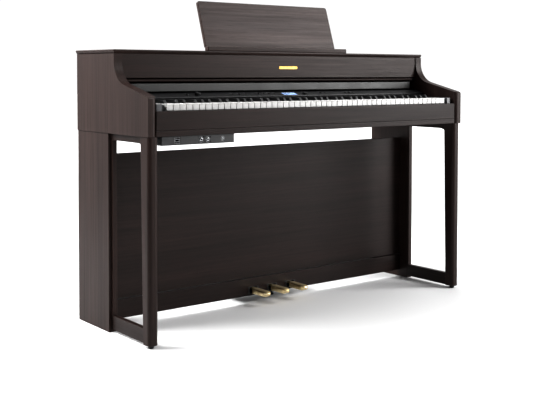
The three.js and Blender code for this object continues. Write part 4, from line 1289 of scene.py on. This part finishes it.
low, high = node_box("back_board")
xs = np.linspace(low[0] + SCREW_EDGE, high[0] - SCREW_EDGE, SCREW_COLUMNS)
zs = (low[2] + SCREW_EDGE, high[2] - SCREW_EDGE)
heads = [screw((x, high[1], z)) for x in xs for z in zs]
heads += [screw((x, high[1], (zs[0] + zs[1]) / 2)) for x in (xs[0], xs[-1])]
count(piece("back_board_screws", together(*heads), dark_steel))

# %% [markdown]
# A steel angle is two thin plates: one lies on the modesty panel and the other on the leg board.

# %% Corner angles
ANGLE_LEG, ANGLE_THICK, ANGLE_TALL, ANGLE_ROLL = 28 * MM, 2 * MM, 40 * MM, 0.5 * MM
ANGLE_GAP, ANGLE_HEIGHTS, ANGLE_SCREW = 0.1 * MM, (140 * MM, 500 * MM), 16 * MM


def corner_angle(sign, wall, rear, z):
    """Plates on the panel and on the wall, and a screw through the first."""
    near, far, top = rear + ANGLE_GAP, rear + ANGLE_GAP + ANGLE_THICK, z + ANGLE_TALL
    x0, x1 = sorted((wall, wall - sign * ANGLE_LEG))
    panel_plate = rolled_box((x0, near, z), (x1, far, top), ANGLE_ROLL, 2)
    x0, x1 = sorted((wall, wall - sign * ANGLE_THICK))
    wall_plate = rolled_box((x0, rear + ANGLE_THICK, z), (x1, rear + ANGLE_LEG, top), ANGLE_ROLL, 2)
    return [panel_plate, wall_plate, screw((wall - sign * ANGLE_SCREW, far + ANGLE_GAP, z + ANGLE_TALL / 2))]


low, high = node_box("modesty_panel")
angles = []
for sign in (-1, 1):
    for z in ANGLE_HEIGHTS:
        angles += corner_angle(sign, sign * (abs(low[0]) - ANGLE_GAP), high[1], z)
count(piece("corner_angles", together(*angles), zinc))

# %% [markdown]
# ## The floor
# The floor is one wide sheet, so pale that it meets the white of the room. It isn't part of the piano.

# %% Floor
REACH = 30.0
FLOOR_TINT = [(0.3, 0.70, 0.70, 0.705), (0.7, 0.74, 0.74, 0.74)]
FAR_FADE, BEHIND_FADE = (2.4, 6.0), (-0.6, 1.2)


def floor_finish():
    """Pale matt floor with very faint clouds. Far behind the piano it glows white, so that it runs into the
    white room. The glow is the distance from the origin times how far behind the piano a point is."""
    material, shader = new_finish("floor_pale", ior=1.4)
    clouds = noise(material, (0.8, 0.8, 0.8), 2, 0.5)
    where = add(material, "TexCoord").outputs["Object"]
    away = material.node_tree.nodes.new("ShaderNodeVectorMath")
    away.operation = "LENGTH"
    material.node_tree.links.new(where, away.inputs[0])
    far = spread(material, away.outputs["Value"], 0.0, 1.0, *FAR_FADE)
    axes = add(material, "SeparateXYZ", Vector=where)
    behind = spread(material, axes.outputs["Y"], 0.0, 1.0, *BEHIND_FADE)
    glow = material.node_tree.nodes.new("ShaderNodeMath")
    glow.operation = "MULTIPLY"
    material.node_tree.links.new(far, glow.inputs[0])
    material.node_tree.links.new(behind, glow.inputs[1])
    connect(material, shader, Base_Color=tint(material, clouds, FLOOR_TINT),
            Roughness=spread(material, clouds, 0.55, 0.65), Emission_Strength=glow.outputs["Value"])
    shader.inputs["Emission Color"].default_value = WHITE
    return material


corners = [(-REACH, -REACH, 0), (REACH, -REACH, 0), (REACH, REACH, 0), (-REACH, REACH, 0)]
sheet = bpy.data.meshes.new("floor")
sheet.from_pydata(corners, [], [(0, 1, 2, 3)])
sheet.materials.append(floor_finish())
floor = bpy.data.objects.new("floor", sheet)
scene.collection.objects.link(floor)
print("the floor is", 2 * REACH, "m wide")
